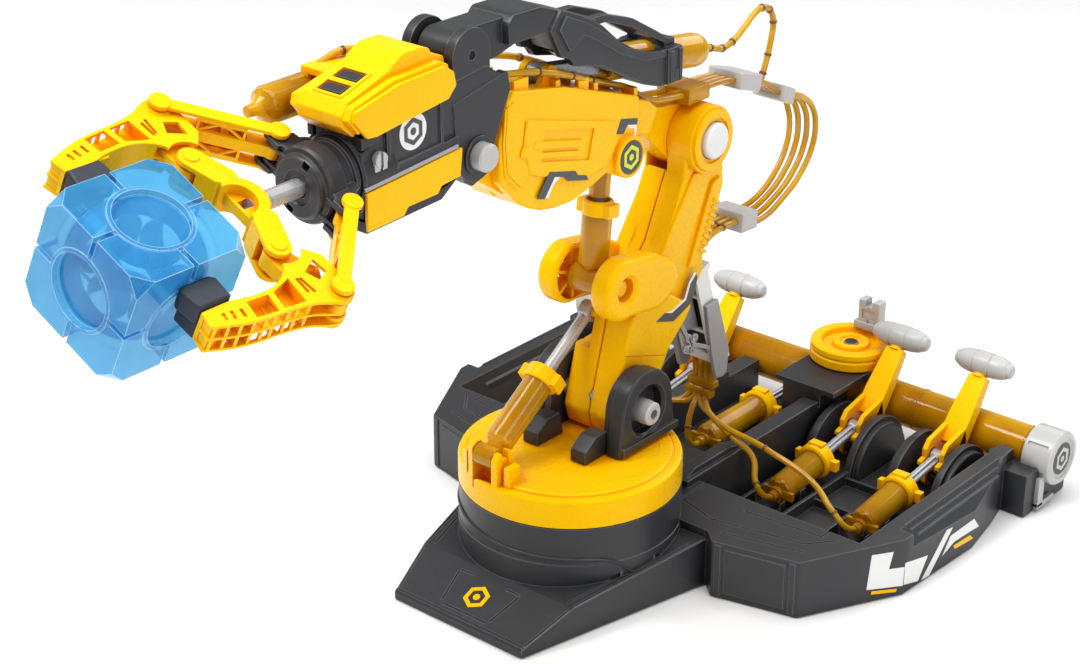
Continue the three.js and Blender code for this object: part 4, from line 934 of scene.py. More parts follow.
def table_disc():
    """The disc, and the clevis, pin, bar and lip that stand on it."""
    profile = [(0, 29.5), (8, 29.5), (8, 40.3), (44.8, 40.3), (45.1, 40.8), (45.1, 50.4), (44.6, 51.5),
        (43.6, 51.9), (41.9, 52.0), (41.5, 51.7), (41.2, 51.9), (40.9, 52.8), (40.3, 53.2), (0, 53.2)]
    disc = turned((0, 0, 0), (0, 0, 1), profile, 0, 128)
    fy, fz = BOOM_CYL_FOOT
    mid = BOOM_CYL_X
    far = prism("X", [(-44.2, 46), (-44.2, 60), (-42.6, 64.4), (-39.6, 66.2), (-36.6, 65.2), (-34.4, 60),
            (-30, 53), (-30, 46)], mid - 8.6, mid - 5.4, 0.6)
    near = prism("X", [(-44.2, 46), (-44.2, 62.4), (-42.2, 65.4), (-35.6, 65.4), (-33.6, 61), (-29.6, 53),
            (-29.6, 46)], mid + 5.4, mid + 8.6, 0.6)
    notch = [(fy - 1.9, fz)] + arc(fy, fz, 1.9, 180, 360, 12) + [(fy + 1.9, fz + 8), (fy - 1.9, fz + 8)]
    near = carve(near, cut=[prism("X", notch, -10, 10)])
    gussets = [box(mid + low, mid + high, y0, y1, 50, top, soft) for y0, y1, top, soft,
        spans in ((-42, -35.6, 60.4, 0.5, ((-13.4, -10), (10, 13.4))),
            (-38, -35.8, 58.4, 0.3, ((-12.2, -7.8), (7.8, 12.2)))) for low, high in spans]
    clevis = carve(far, [near] + gussets, keep=[rod("Z", 0, 0, 45.05, 40, 70, 0, 128)])
    pin = rod("X", fy, fz, 1.9, mid - 7, mid + 8.2, 0.2, 32)
    bay = box(mid - 5.3, mid + 5.3, -43, -29, 47, 60)
    bar = box(mid - 5.4, mid + 5.4, -36.2, -34.4, 49, 52.4, 0.2)
    lip = carve(rod("Z", 0, 0, 36.4, 52.9, 53.42, 0.1, 128),
        cut=[rod("Z", 0, 0, 35.7, 50, 60, 0, 128), box(-60, -2, -60, 60, 50, 60),
            box(-60, 60, -60, -6, 50, 60)])
    return carve(disc, cut=[bay]), [clevis, pin, bar, lip]


disc, extras = table_disc()
piece("table_disc", carve(disc, extras), YELLOW, "turntable", "turntable")


def pedestal_piece(sign):
    """One arched pedestal, with its recess and the wedge at its front."""
    y, z, base = 19.5, 70, TABLE_TOP + 0.15
    arch = [(1.2, base)] + arc(y, z, 16, 180, 0, 40) + [(37.6, base)]
    back_arch = [(2.6, base)] + arc(y, z, 15, 180, 0, 40) + [(36.4, base)]
    parts = [prism("X", arch, 16.6, 24, 1.3, 3), prism("X", back_arch, 13.8, 18, 0.4)]
    wedge = prism("X", [(-10.6, base), (-10.6, base + 5.4), (-3.6, base + 10.2), (3.6, base + 10.2),
            (6, base)], 8.4, 16.2, 0.8, 2)
    sill = prism("X", [(2.6, base + 1.4), (38, base + 1.4), (38, base + 4.8), (2.6, base + 4.8)], 22.6,
        25.3, 0.5)
    recess = turned((30, y, z - 1), (-1, 0, 0),
        [(0, 0), (11.2, 0), (11.2, 6), (10.2, 7.4), (10.2, 11.6), (0, 11.6)], 0, 64)
    floor_cut = box(18.4, 22.4, 9.4, 29.6, base + 5, z)
    whole = carve(parts[0], [parts[1]], [recess, floor_cut])
    whole = carve(whole, [wedge, sill], [rod("X", *BOOM_AT, 5.4, 10, 30)])
    return whole if sign > 0 else mirror_x(whole)


for side, sign in SIDES:
    piece(f"pedestal_{side}_arch", pedestal_piece(sign), DARK, "turntable", f"pedestal_{side}")


def cap_pin(a, b, r, half, bore, depth):
    """A pale pin along X with chamfered ends and a bore in each."""
    profile = [(0, -half), (r - 1.0, -half), (r - 0.2, -half + 0.8), (r - 0.2, -half + 2.6),
        (r, -half + 3), (r, half - 3), (r - 0.2, half - 2.6), (r - 0.2, half - 0.8), (r - 1.0, half),
        (0, half)]
    pin = turned((0, a, b), (1, 0, 0), profile, 0.15, 64)
    bores = [rod("X", a, b, bore, half - depth, half + 1, 0, 32),
        rod("X", a, b, bore, -half - 1, -half + depth, 0, 32)]
    return carve(pin, cut=bores)


piece("boom_pin_white", cap_pin(*BOOM_AT, 5, 28, 2.1, 3), GREY, body_of("boom_pin"), "boom_pin")


# ---- slave cylinders --------------------------------------------------------------------------
def slave_cylinder(name, x, foot, towards, body, node, eye_r, eye_half, pin_r, length, cap_r):
    """A clear cylinder with an eye at its foot and a yellow cap with ears."""
    direction = unit_yz(foot, towards)
    start = (x, *foot)
    outer = [(0, 2.8), (3.4, 2.8), (4.2, 5.4), (5.6, 6.6), (6, 7.6), (6, length - 3.6), (0, length - 3.6)]
    barrel = turned(start, direction, outer, 0.2)
    eye = rod("X", *foot, eye_r, x - eye_half, x + eye_half, 0.4)
    bores = [drum(start, direction, 4.7, 11, length), rod("X", *foot, pin_r + 0.25, x - 20, x + 20)]
    piece(name + "_glass", carve(barrel, [eye], bores), AMBER, body, node)
    ring = turned(start, direction, [(4.75, length - 6.4), (cap_r - 0.6, length - 6.4),
            (cap_r, length - 5.8), (cap_r, length - 0.6), (cap_r - 0.6, length), (4.75, length),
            (4.75, length - 6.4)], 0.1)
    y, z = foot[0] + direction[1] * (length - 3.4), foot[1] + direction[2] * (length - 3.4)
    dy, dz = direction[1], direction[2]
    corners = ((-2.8, 3.4), (-2.8, -3.4), (2.8, -3.4), (2.8, 3.4))
    flat = [(y + dy * u - dz * v, z + dz * u + dy * v) for u, v in corners]
    ears = [prism("X", flat, *sided(s, cap_r - 1.4, cap_r + 2.0, x), 0.5) for s in (-1, 1)]
    piece(name + "_cap", merged(ring, *ears), YELLOW, body)


def slave_rod_piece(name, x, eye, towards, body, node, r, reach, eye_r, eye_half, pin_r):
    """A silver rod with an eye, its piston and dark seal."""
    direction = unit_yz(eye, towards)
    start = (x, *eye)
    stem = turned(start, direction, [(0, 0), (r, 0), (r, reach), (4.1, reach), (4.1, reach + 4),
            (0, reach + 4)], 0.15, 40)
    solid = carve(stem, [rod("X", *eye, eye_r, x - eye_half, x + eye_half, 0.4)],
        [rod("X", *eye, pin_r + 0.25, x - 20, x + 20, 0, 32)])
    piece(name + "_bar", solid, SILVER, body, node)
    piece(name + "_seal", turned(start, direction,
            [(4.05, reach + 0.8), (4.35, reach + 1.2), (4.35, reach + 2.8), (4.05, reach + 3.2),
                (4.05, reach + 0.8)], 0, 40), SEAL, body)


slave_cylinder("boom_cylinder", BOOM_CYL_X, BOOM_CYL_FOOT, BOOM_ROD_EYE, "boom_cylinder", "boom_cylinder",
    4.4, 4.8, 2, 42, 7.4)
slave_rod_piece("boom_rod", BOOM_CYL_X, BOOM_ROD_EYE, BOOM_CYL_FOOT, "boom_rod", "boom_rod", 2.5, 46, 4.2,
    2.6, 2)

# ---- lower arm --------------------------------------------------------------------------------
FORK = (-8.6, 1.2)
SPLIT, FORK_PLAY = 0.12, 0.3


def seam(points, width, level, deep=0.6):
    """Thin cutters along a polyline on a side face, points (y, z)."""
    low, high = sorted((level - math.copysign(deep, level), level + math.copysign(2, level)))
    return [strut(p, q, width / 2, low, high) for p, q in zip(points, points[1:])]


def lower_arm_piece(sign):
    """One half of the lower arm: shank, foot, round cheek and shoulder."""
    inner = SPLIT
    shank = ([(12.6, 57), (10.8, 63.5), (21.7, 102.6), (45.2, 127.6), (57.4, 153.2)] +
        arc(*SHOULDER_AT, 14, 200, -30, 24) +
        [(84.3, 142.5), (72, 115), (72, 108), (58.5, 92.4), (47.4, 82.7), (36, 64), (28, 55)])
    foot = [(13.5, 55), (10.8, 63.5), (21.7, 102.6), (26, 107), (40, 112), (62, 97), (58.5, 92.4),
        (47.4, 82.7), (36, 64), (28, 55)]
    cheek = (arc(*YOKE_AT, 12.8, 92, 282, 28) +
        [(34, 106.4), (42.6, 110.6), (46.4, 116.4), (43.4, 124), (31, 131.2)])
    ridge = [(33, 113), (52, 113), (68, 138), (75.5, 153.6), (62.4, 153.6)]
    step_band = [(60, 113.6), (66, 112.6), (79.4, 140.4), (80, 147.8), (74.6, 146.2)]
    parts = [prism("X", shank, inner, 10.4, 1.2, 3), prism("X", foot, inner, 13, 1.4, 3),
        prism("X", ridge, 5, 11.6, 0.8), prism("X", step_band, 5, 12.0, 0.6),
        rod("X", *SHOULDER_AT, 14, inner, 13.2, 0.7, 72),
        rod("X", *SHOULDER_AT, 12.6, 8, 14.65, 0.6, 72), prism("X", cheek, 8.6, 18.2, 2.6, 4)]
    for i in range(8):
        t = i / 7
        parts.append(strut((66.4 + 8.4 * t, 120 + 19 * t), (70.6 + 8.4 * t, 117.6 + 19 * t), 0.75, 9,
                12.7, 0.3))
    fork_low, fork_high = FORK[0] - FORK_PLAY, FORK[1] + FORK_PLAY
    fork = [rod("X", *SHOULDER_AT, 17.6, fork_low, fork_high, 0, 64),
        prism("X", [(52, 148), (40, 150), (40, 200), (71, 200), (71, 166)], fork_low, fork_high)]
    if sign < 0:
        fork = [mirror_x(cutter) for cutter in fork]
    tools = [rod("X", *BOOM_AT, 5.4, -30, 30), fork[0], rod("X", *SHOULDER_AT, 7.9, -30, 30, 0, 64),
        rod("X", *SHOULDER_AT, 9.3, 13.9, 16, 0, 64), fork[1],
        turned((18.8, *YOKE_AT), (-1, 0, 0),
            [(0, -1), (7.0, -1), (6.6, 0.5), (4.9, 1.9), (4.7, 5.4), (0, 5.4)], 0, 48)]
    tools += seam([(16.8, 108.7), (14.3, 104.2), (11.7, 100.8), (12.4, 95.1), (16.7, 90.2), (46.6, 80.1)],
        0.5, 13)
    hollow = arc(*YOKE_AT, 10.6, 100, 262, 20) + [(24, 111.5), (29, 112), (29, 129), (20, 131.5)]
    tools.append(prism("X", hollow, 7, 13.4))
    body = carve(parts[0], parts[1:], tools)
    ribs = [strut(YOKE_AT, polar(*YOKE_AT, 11, a), 0.6, 9, 14) for a in (95, 160, 215, 265)]
    body = carve(body, [rod("X", *YOKE_AT, 3.0, inner, 15, 0, 32)] + ribs)
    if sign < 0:
        body = mirror_x(body)
        body = carve(body, cut=[box(-20, -5.2, 0, 33, 88, 107.4)])
        body = carve(body, [rod("X", *BOOM_ROD_EYE, 2, BOOM_CYL_X - 4, -4)])
    return body


ARM_PRINT = [
    ("arm_stripe", 13, 0.12, INK, [(59.9, 107.3), (57.1, 100.8), (47.8, 98.3), (43.3, 99.9), (37.4, 98),
        (49.1, 94.2), (59, 97.6), (62.7, 101.9), (64.4, 108.3), (63.9, 110.6)]),
    ("arm_edge", 13, 0.1, WHITE, [(58.9, 108), (56.2, 101.8), (47.6, 99.3), (43.3, 99.9), (47.8, 98.3),
        (57.1, 100.8), (59.9, 107.3), (63.9, 110.6), (62.6, 111.4)]),
]
for side, sign in SIDES:
    piece(f"lower_arm_{side}_shell", lower_arm_piece(sign), YELLOW, "lower_arm", f"lower_arm_{side}")
    for name, level, thick, material, outline in ARM_PRINT:
        sticker(f"{name}_{side}", outline, sign, level, thick, material, "lower_arm")

profile = [(0, -16.6), (6.4, -16.6), (7.2, -16.0), (7.5, -15.0), (7.5, 15.0), (7.2, 16.0), (6.4, 16.6),
    (3, 16.95), (0, 17)]
piece("shoulder_cap", turned((0, *SHOULDER_AT), (1, 0, 0), profile, 0.1, 72), WHITE,
    body_of("shoulder_pin"), "shoulder_pin")

slave_cylinder("forearm_cylinder", 0, YOKE_AT, FORE_ROD_EYE, "forearm_cylinder", "forearm_cylinder", 6,
    7.6, 3.2, 33, 6.2)
slave_rod_piece("forearm_rod", 0, FORE_ROD_EYE, YOKE_AT, "forearm_rod", "forearm_rod", 2.4, 24.5, 4.4, 4,
    2.4)
sleeve = turned((0, *FORE_ROD_EYE), unit_yz(FORE_ROD_EYE, YOKE_AT),
    [(2.45, 5.4), (4.15, 5.4), (4.15, 18.4), (3.7, 19), (2.45, 19), (2.45, 5.4)], 0, 56)
piece("forearm_sleeve", sleeve, AMBER, "forearm_rod")


# ---- hose guide -------------------------------------------------------------------------------
GUIDE_TOP, GUIDE_FOOT = (74, 106), (88, 62)


def guide_at(t, k):
    """A (y, z) point along the guide, k to its rear."""
    y = GUIDE_TOP[0] + (GUIDE_FOOT[0] - GUIDE_TOP[0]) * t + 0.953 * k
    return y, GUIDE_TOP[1] + (GUIDE_FOOT[1] - GUIDE_TOP[1]) * t + 0.303 * k


def guide_bar(t0, t1, k, half, x0, x1, soft=0.3):
    """A straight bar along the guide between two shares of its length."""
    return strut(guide_at(t0, k), guide_at(t1, k), half, x0, x1, soft)


channel = [guide_bar(0, 0.98, 0, 4.2, s * 7.4 - 0.9, s * 7.4 + 0.9, 0.4) for s in (-1, 1)]
channel += [guide_bar(0, 0.98, 3.6, 0.8, -7.7, 7.7), guide_bar(0.0, 0.05, -3.4, 0.8, -7.7, 7.7),
    guide_bar(0.22, 0.26, -3.4, 0.8, -7.7, 7.7), guide_bar(0.62, 0.66, -3.4, 0.8, -7.7, 7.7),
    guide_bar(0.9, 1.0, -3.4, 0.8, -7.7, 7.7), guide_bar(0.96, 1.04, 2, 3.0, 7.0, 10.4, 0.4),
    guide_bar(-0.03, 0.03, 1.6, 4.4, -8.6, 8.6, 0.4)]
piece("guide_channel", carve(channel[0], channel[1:]), WHITE, "lower_arm", "hose_guide")
piece("guide_lining", guide_bar(0.06, 0.9, -0.4, 1.6, -6.4, 6.4), DARK, "lower_arm")
lug = prism("X", [(50, 82), (57, 94.6), guide_at(0.28, -3.2), guide_at(0.62, -3.2)], -3.4, 3.4, 0.4)
piece("guide_lug", carve(lug, cut=[prism("X",
            [(30, 60), (36, 63), (48, 82.4), (59, 92), (71, 107.8), (71, 130), (30, 130)], -14, 14)]),
    STEEL, "lower_arm")
for side, sign in SIDES:
    low, high = sided(sign, 8.4, 10.6)
    shield = prism("X", [(75.4, 90.6), (83.4, 91.6), (84.6, 88), (92.6, 65), (91.4, 55.2), (88.8, 53.4),
            (84, 54.6), (80.4, 66)], low, high, 0.6)
    piece(f"guide_shield_{side}", shield, STEEL, "lower_arm")
    cross = (66.4, 76.6)
    arms = [strut(polar(*cross, -4.2, a), polar(*cross, 4.2, a), 0.55, low - 0.2, high - 0.8, 0.2)
        for a in (28, 118)]
    rims = [carve(rod("X", *polar(*cross, 3.4, a), 1.9, low, high - 1, 0.2, 24),
            cut=[rod("X", *polar(*cross, 3.4, a), 1.1, low - 1, high + 1, 0, 24)])
        for a in (28, 118, 208, 298)]
    stay = strut(cross, (58.6, 88.6), 0.9, low, high - 0.8, 0.2)
    tie = strut(cross, (80, 70), 0.9, low, high - 0.8, 0.2)
    foot_tie = box(*sided(sign, 2.6, 8.8), 57, 60, 87, 90, 0.3)
    piece(f"guide_cross_{side}", merged(*arms, *rims, stay, tie, foot_tie), STEEL, "lower_arm")


# ---- forearm ----------------------------------------------------------------------------------
def forearm_piece(sign):
    """One half of the forearm: side, raised panel, neck and tongue."""
    inner = SPLIT
    side = ([(26, 196), (26, 181)] + arc(*FORE_ROD_EYE, 8.4, 20, -115, 14) +
        [(6.9, 170.4), (-6, 166.6), (-14, 165.2), (-24, 165.6), (-32, 167.2), (-38, 169.8), (-44, 173.5),
            (-54, 184), (-54.6, 200), (-50.4, 213.6), (-46, 216.8), (-17.5, 211)])
    lip = [(-52, 211.6), (-53.4, 199), (-52.4, 186.6), (-45.4, 179.4), (-38.6, 183), (-42.6, 196),
        (-41.4, 204.6), (-47, 213.4)]
    raised = [(-40.6, 204.8), (-42.4, 196), (-39, 183.6), (-33.6, 181), (-20, 177.6), (-6, 172.6),
        (6, 174), (12, 182), (10, 190.6)]
    neck = ([(20, 197), (20, 180), (44, 172), (60, 157.4)] + arc(*SHOULDER_AT, 14, -110, 100, 24) +
        [(52, 182), (38, 188)])
    tongue = arc(*WRIST_AT, 9, 90, 270, 24) + [(-46, 176), (-44, 214)]
    neck_side = FORK[1] if sign > 0 else -FORK[0]
    collar = [(21, 196), (21, 181), (36, 177), (41, 186.4), (35, 191.4)]
    parts = [prism("X", side, inner, 11.6, 1.0, 3), prism("X", lip, 9, 12.3, 0.5),
        prism("X", raised, 9, 12.6, 0.7, 3), prism("X", neck, inner, neck_side, 0.3),
        prism("X", tongue, inner, 7, 0.3), prism("X", collar, inner, 9, 0.8, 3),
        rod("X", *FORE_ROD_EYE, 8.4, 8, 14.0, 0.7, 64)]
    recess = [(-31.4, 198.6), (-2.4, 191.4), (-5.5, 179.6), (-32.8, 186.8)]
    tools = [prism("X", recess, 11.9, 15),
        prism("X", [(10, 186), (9, 150), (27.6, 150), (29, 186)], -7.4, 7.4),
        rod("X", *WRIST_AT, 5.5, -30, 30), rod("X", *SHOULDER_AT, 7.8, -30, 30, 0, 64),
        prism("X", [(-30, 208.2), (-10, 205.2), (-10, 240), (-30, 240)], -3.5, 3.5),
        rod("X", *FORE_ROD_EYE, 6.9, 13.6, 20, 0, 64), rod("X", *SHOULDER_AT, 15, neck_side, 30, 0, 64)]
    tools += seam([(-50.8, 212), (-52.2, 199), (-51.2, 187.4), (-44.4, 180.4)], 0.5, 12.3, 0.3)
    body = carve(parts[0], parts[1:], tools)
    bars = [prism("X", [(-36.4, 195.6), (-9.4, 188.9), (-10.2, 186.0), (-37.2, 192.7)], 11, 12.9, 0.4),
        prism("X", [(-33.4, 190.6), (-10.8, 185), (-11.4, 182.8), (-34, 188.4)], 11, 12.5, 0.3),
        prism("X", [(-43.6, 195.6), (-39.8, 194.6), (-40.8, 190.9), (-44.6, 191.9)], 11, 13.1, 0.3),
        prism("X", [(-30, 212.6), (-10, 208.8), (-10, 204), (-30, 207)], 8.6, 10.4, 0.3),
        rod("X", *FORE_ROD_EYE, 2.4, inner, 9, 0, 32), rod("X", *LINK_ROD_EYE, 1.8, inner, 6, 0, 32),
        prism("X", [(-28, 206), (-12, 206)] + arc(*LINK_ROD_EYE, 4.2, 0, 180, 20), 3.2, 6.2, 0.3),
        box(7.4, 9.4, -44, -36, 210, 219.5, 0.4), box(7.4, 9.4, -8, -2, 204, 210.6, 0.4)]
    body = carve(body, bars)
    return body if sign > 0 else mirror_x(body)


FOREARM_PRINT = [
    ("high_stripe", 11.6, 0.12, INK, [(14.6, 190), (24.8, 187.6), (24.4, 185.2), (18.6, 186.6), (16.2,
        183.6), (11.8, 184.7)]),
    ("high_edge", 11.6, 0.1, WHITE, [(18.8, 186.4), (24.3, 185.0), (24.0, 180.6), (22.6, 181.0), (22.8,
        184), (19.6, 184.8)]),
    ("low_stripe", 12.6, 0.12, INK, [(-28.3, 181.6), (-13.5, 177.7), (-12, 175.6), (-7.2, 174.1), (-5.7,
        171.8), (-17.8, 175), (-18.8, 176.9), (-25.5, 178.9), (-31.1, 171.9), (-35.3, 173.1)]),
    ("low_edge", 12.6, 0.1, WHITE, [(-25.3, 178.7), (-22.2, 177.9), (-24.8, 176.7), (-26.6, 175.2),
        (-29.0, 171.6), (-30.7, 172.1)]),
]
for side, sign in SIDES:
    piece(f"forearm_{side}_shell", forearm_piece(sign), YELLOW, "forearm", f"forearm_{side}")
    mark(f"forearm_{side}", "X", *FORE_ROD_EYE, sign * 13.6, 6.6, "forearm", INK, LIME, sign)
    for name, level, thick, material, outline in FOREARM_PRINT:
        sticker(f"{name}_{side}", outline, sign, level, thick, material, "forearm")

wrist_profile = [(0, -19.3), (4.4, -19.3), (5.2, -18.5), (5.2, 18.5), (4.4, 19.3), (0, 19.3)]
piece("wrist_pin_white", turned((0, *WRIST_AT), (1, 0, 0), wrist_profile, 0.1, 64), GREY,
    body_of("wrist_pin"), "wrist_pin")
for s in (-1, 1):
    washer = turned((s * 13.3, *WRIST_AT), (s, 0, 0),
        [(5.3, 0), (7.2, 0), (7.2, 0.9), (6.7, 1.3), (5.3, 1.3), (5.3, 0)], 0.1, 64)
    piece(f"wrist_washer_{s}", washer, DARK, body_of("wrist_pin"))


# ---- wrist ------------------------------------------------------------------------------------
def wrist_piece():
    """The wrist frame, with the drum that carries the gripper."""
    slab = [(-53.4, 225.5), (-51.5, 219.4), (-66, 189.6), (-70, 188.4), (-73.6, 191), (-77, 196.4),
        (-88, 196.4), (-88, 193.6), (-124.6, 192.7), (-124.6, 216), (-118, 219.6), (-110, 220.4),
        (-108, 225), (-80, 229), (-62, 231)]
    plate = ([(-51.8, 226.6), (-50.4, 219.6), (-63, 193.4)] + arc(*WRIST_AT, 9.8, -52, -150, 14) +
        [(-78.6, 196.4), (-80.4, 221.4)])
    parts = []
    for s in (-1, 1):
        parts.append(prism("X", plate, *sided(s, 9, 13.6), 0.7, 3))
        parts.append(prism("X", arc(*LINK_AT, 9.8, -14, 196, 32) + [(-79, 228), (-59.6, 225.4)],
                *sided(s, 8, 12.2), 0.5))
        panel = [(-85.6, 227.4), (-113.4, 226.2), (-113.4, 207.2), (-85.6, 208.6)]
        inset = [(-87.2, 226.2), (-111.8, 225), (-111.8, 208.8), (-87.2, 210)]
        parts.append(carve(prism("X", panel, *sided(s, 12, 13.9), 0.4),
                cut=[prism("X", inset, *sided(s, 13.2, 16))]))
        ledge = [(-78.6, 210.4), (-125.0, 207.4), (-125.0, 203.0), (-78.6, 205.8)]
        parts.append(prism("X", ledge, *sided(s, 12, 14.3), 0.5))
        parts.append(prism("X", [(-114.4, 224), (-124.2, 221.4), (-124.2, 217.2), (-114.4, 219.4)],
                *sided(s, 10, 12.9), 0.5))
    link_pins = [rod("X", *LINK_AT, 3, -9, 9, 0, 48), rod("X", *LINK_AT, 4.4, 6.6, 8.6, 0.3, 48),
        rod("X", *LINK_AT, 4.4, -8.6, -6.6, 0.3, 48)]
    parts += [turned((0, -108.6, GRIP_Z), (0, -1, 0),
            [(0, 0), (14.2, 0), (14.6, 0.5), (14.6, 15.6), (13.9, 16.4), (0, 16.4)], 0, 96),
        box(-7, 9, -121.5, -111, 219, 229.6, 0.6), box(-9.5, 11.5, -123.6, -109.5, 217.4, 221.6, 0.5),
        box(-4, 4.6, -124.4, -118.6, 219, 226.6, 0.4)]
    slot = prism("X", [(-50, 180), (-79.5, 180), (-79.5, 218), (-72, 224.6), (-50, 224.6)], -7.4, 7.4)
    link_slot = prism("X", [(-40, 224), (-84, 224), (-84, 260), (-40, 260)], -7.8, 7.8)
    sockets = [rod("X", *LINK_AT, 1.7, s * 12.4 - 1.2, s * 12.4 + 1.2, 0, 24) for s in (-1, 1)]
    bores = [rod("X", *WRIST_AT, 5.5, -30, 30), rod("Y", 0, GRIP_Z, 6.4, -130, -104)]
    body = carve(prism("X", slab, -12.8, 12.8, 0.9, 3), parts, [slot, link_slot] + bores + sockets)
    return carve(body, link_pins)


piece("wrist_frame", wrist_piece(), DARK, "wrist", "wrist_body")
for side, sign in SIDES:
    mark(f"wrist_{side}", "X", -100.2, 217.8, sign * 13.1, 6.6, "wrist", WHITE, INK, sign)
    low, high = sided(sign, 12, 15)
    peg = carve(rod("X", -117, 212.6, 2.9, low, high, 0.4, 40),
        [box(*sided(sign, 12, 14.6), -120, -114, 208.8, 212, 0.4)],
        [box(*sided(sign, 14, 17), -117.6, -116.4, 206, 220)])
    piece(f"wrist_peg_{side}", peg, GREY, "wrist")
    strip = [(-79.4, 207.6), (-125.2, 204.8), (-125.2, 203.4), (-79.4, 206.2)]
    piece(f"wrist_strip_{side}", prism("X", strip, *sided(sign, 13.8, 15.0), 0.3), STEEL, "wrist")


def cover_piece():
    """The cover on top of the wrist, and its two buttons."""
    spine = [(-80.5, 231.6), (-84, 235.4), (-88.4, 243.4), (-92, 244.8), (-101, 244.8), (-106, 242.2),
        (-108, 240.6), (-127.4, 234.8), (-131, 230.6), (-130.6, 226.4), (-125.4, 221.8), (-118.2, 228.2),
        (-80.5, 230.4)]
    skirt = [(-80, 229.2), (-81.2, 234.4), (-85.6, 237.4), (-108, 236.8), (-128.4, 232.6), (-129.6, 229),
        (-123.4, 221.8), (-119, 221.4), (-84, 225.2)]
    parts = [prism("X", [(-78.8, 231.5), (-79.6, 238.2), (-89, 241.8), (-92, 231.5)], -2.5, 9, 0.7),
        prism("X", [(-81, 230.5), (-82.4, 237), (-86.6, 239), (-109, 238.2), (-128, 233.6),
                (-130.8, 229.4), (-126, 223.4), (-119, 229)], -13.6, 13.6, 0.7, 2)]
    for s in (-1, 1):
        parts.append(prism("X", skirt, *sided(s, 13.1, 15.2), 0.6))
        parts.append(prism("X", [(-84.6, 236), (-108.4, 235.6), (-127, 231.6), (-127, 229), (-84.6, 231)],
                *sided(s, 10, 14.4), 0.5))
    parts.append(box(-26, -12, -113.6, -94, 233.4, 236.2, 0.5))
    for y in (-113.6, -98):
        parts.append(box(-26, -22.6, y, y + 4, 230.2, 235, 0.4))
    parts.append(prism("X", [(-113, 233), (-124, 231), (-127, 227.6), (-124, 226), (-117, 229.4),
                (-113, 229.4)], -16.4, -12.6, 0.4))
    slope = on_slope((-127.4, 234.8), (-108, 240.6))
    tools, lids = [], []
    buttons = (4.4, 12.2)
    for d in buttons:
        tools.append(moved(box(-5.6, 5.6, d - 2.9, d + 2.9, -1.3, 3), slope))
        lids.append(moved(box(-4.7, 4.7, d - 2.1, d + 2.1, -1.6, 0.5, 0.4), slope))
    frames = [moved(carve(box(-6.8, 6.8, d - 3.9, d + 3.9, -1, 0.55, 0.3),
                cut=[box(-5.6, 5.6, d - 2.9, d + 2.9, -2, 3)]), slope) for d in buttons]
    cover = carve(prism("X", spine, -10.5, 10.5, 0.9, 3), parts, tools)
    return carve(cover, frames), lids


cover, lids = cover_piece()
piece("cover_shell", cover, YELLOW, "wrist", "wrist_cover")
piece("cover_buttons", merged(*lids), DARK, "wrist")

for side, sign in SIDES:
    stripe = [(-77.7, 206.0), (-125, 203.0), (-125, 189.2), (-107.6, 189.8), (-105.4, 192.4),
        (-90.6, 192.6), (-88.6, 195.0), (-79, 195.8)]
    low, high = sided(sign, 13.9, 15.4)
    piece(f"belly_stripe_{side}", prism("X", stripe, low, high, 0.45), YELLOW, "wrist",
        *(["wrist_belly"] if sign > 0 else []))
piece("belly_floor", prism("X", [(-125, 188.4), (-88, 189.6), (-79, 195.6), (-88, 193.4), (-125, 192.4)],
        -14.6, 14.6, 0.4), DARK, "wrist")

grip_start = (-26, -139, 226)
grip_glass = carve(turned(grip_start, (0, 1, 0),
        [(0, 0), (2, 0), (2.4, 3.6), (4.4, 6.4), (6.2, 7.4), (6.9, 9), (6.9, 58), (0, 58)], 0.2),
    cut=[drum(grip_start, (0, 1, 0), 5.6, 12, 60)])
piece("grip_glass", grip_glass, AMBER, "wrist", "grip_cylinder")
grip_cap = turned(grip_start, (0, 1, 0),
    [(5.7, 56), (7.4, 56), (7.9, 56.6), (7.9, 62.6), (7.2, 63.4), (2.4, 64), (2.4, 68), (0, 68), (0, 60),
        (5.7, 60), (5.7, 56)], 0.1)
piece("grip_cap", grip_cap, AMBER, "wrist")
piece("grip_piston", turned(grip_start, (0, 1, 0),
        [(0, 14), (5.3, 14), (5.3, 17), (4.9, 17.4), (4.9, 19.6), (5.3, 20), (5.3, 23), (2.2, 23.4),
            (2.2, 58), (0, 58)], 0.1, 40), SEAL, "wrist")

# ---- wrist link -------------------------------------------------------------------------------
LINK_DIR = unit_yz(LINK_ROD_EYE, LINK_REAR)
LINK_EYE = (0, *LINK_ROD_EYE)


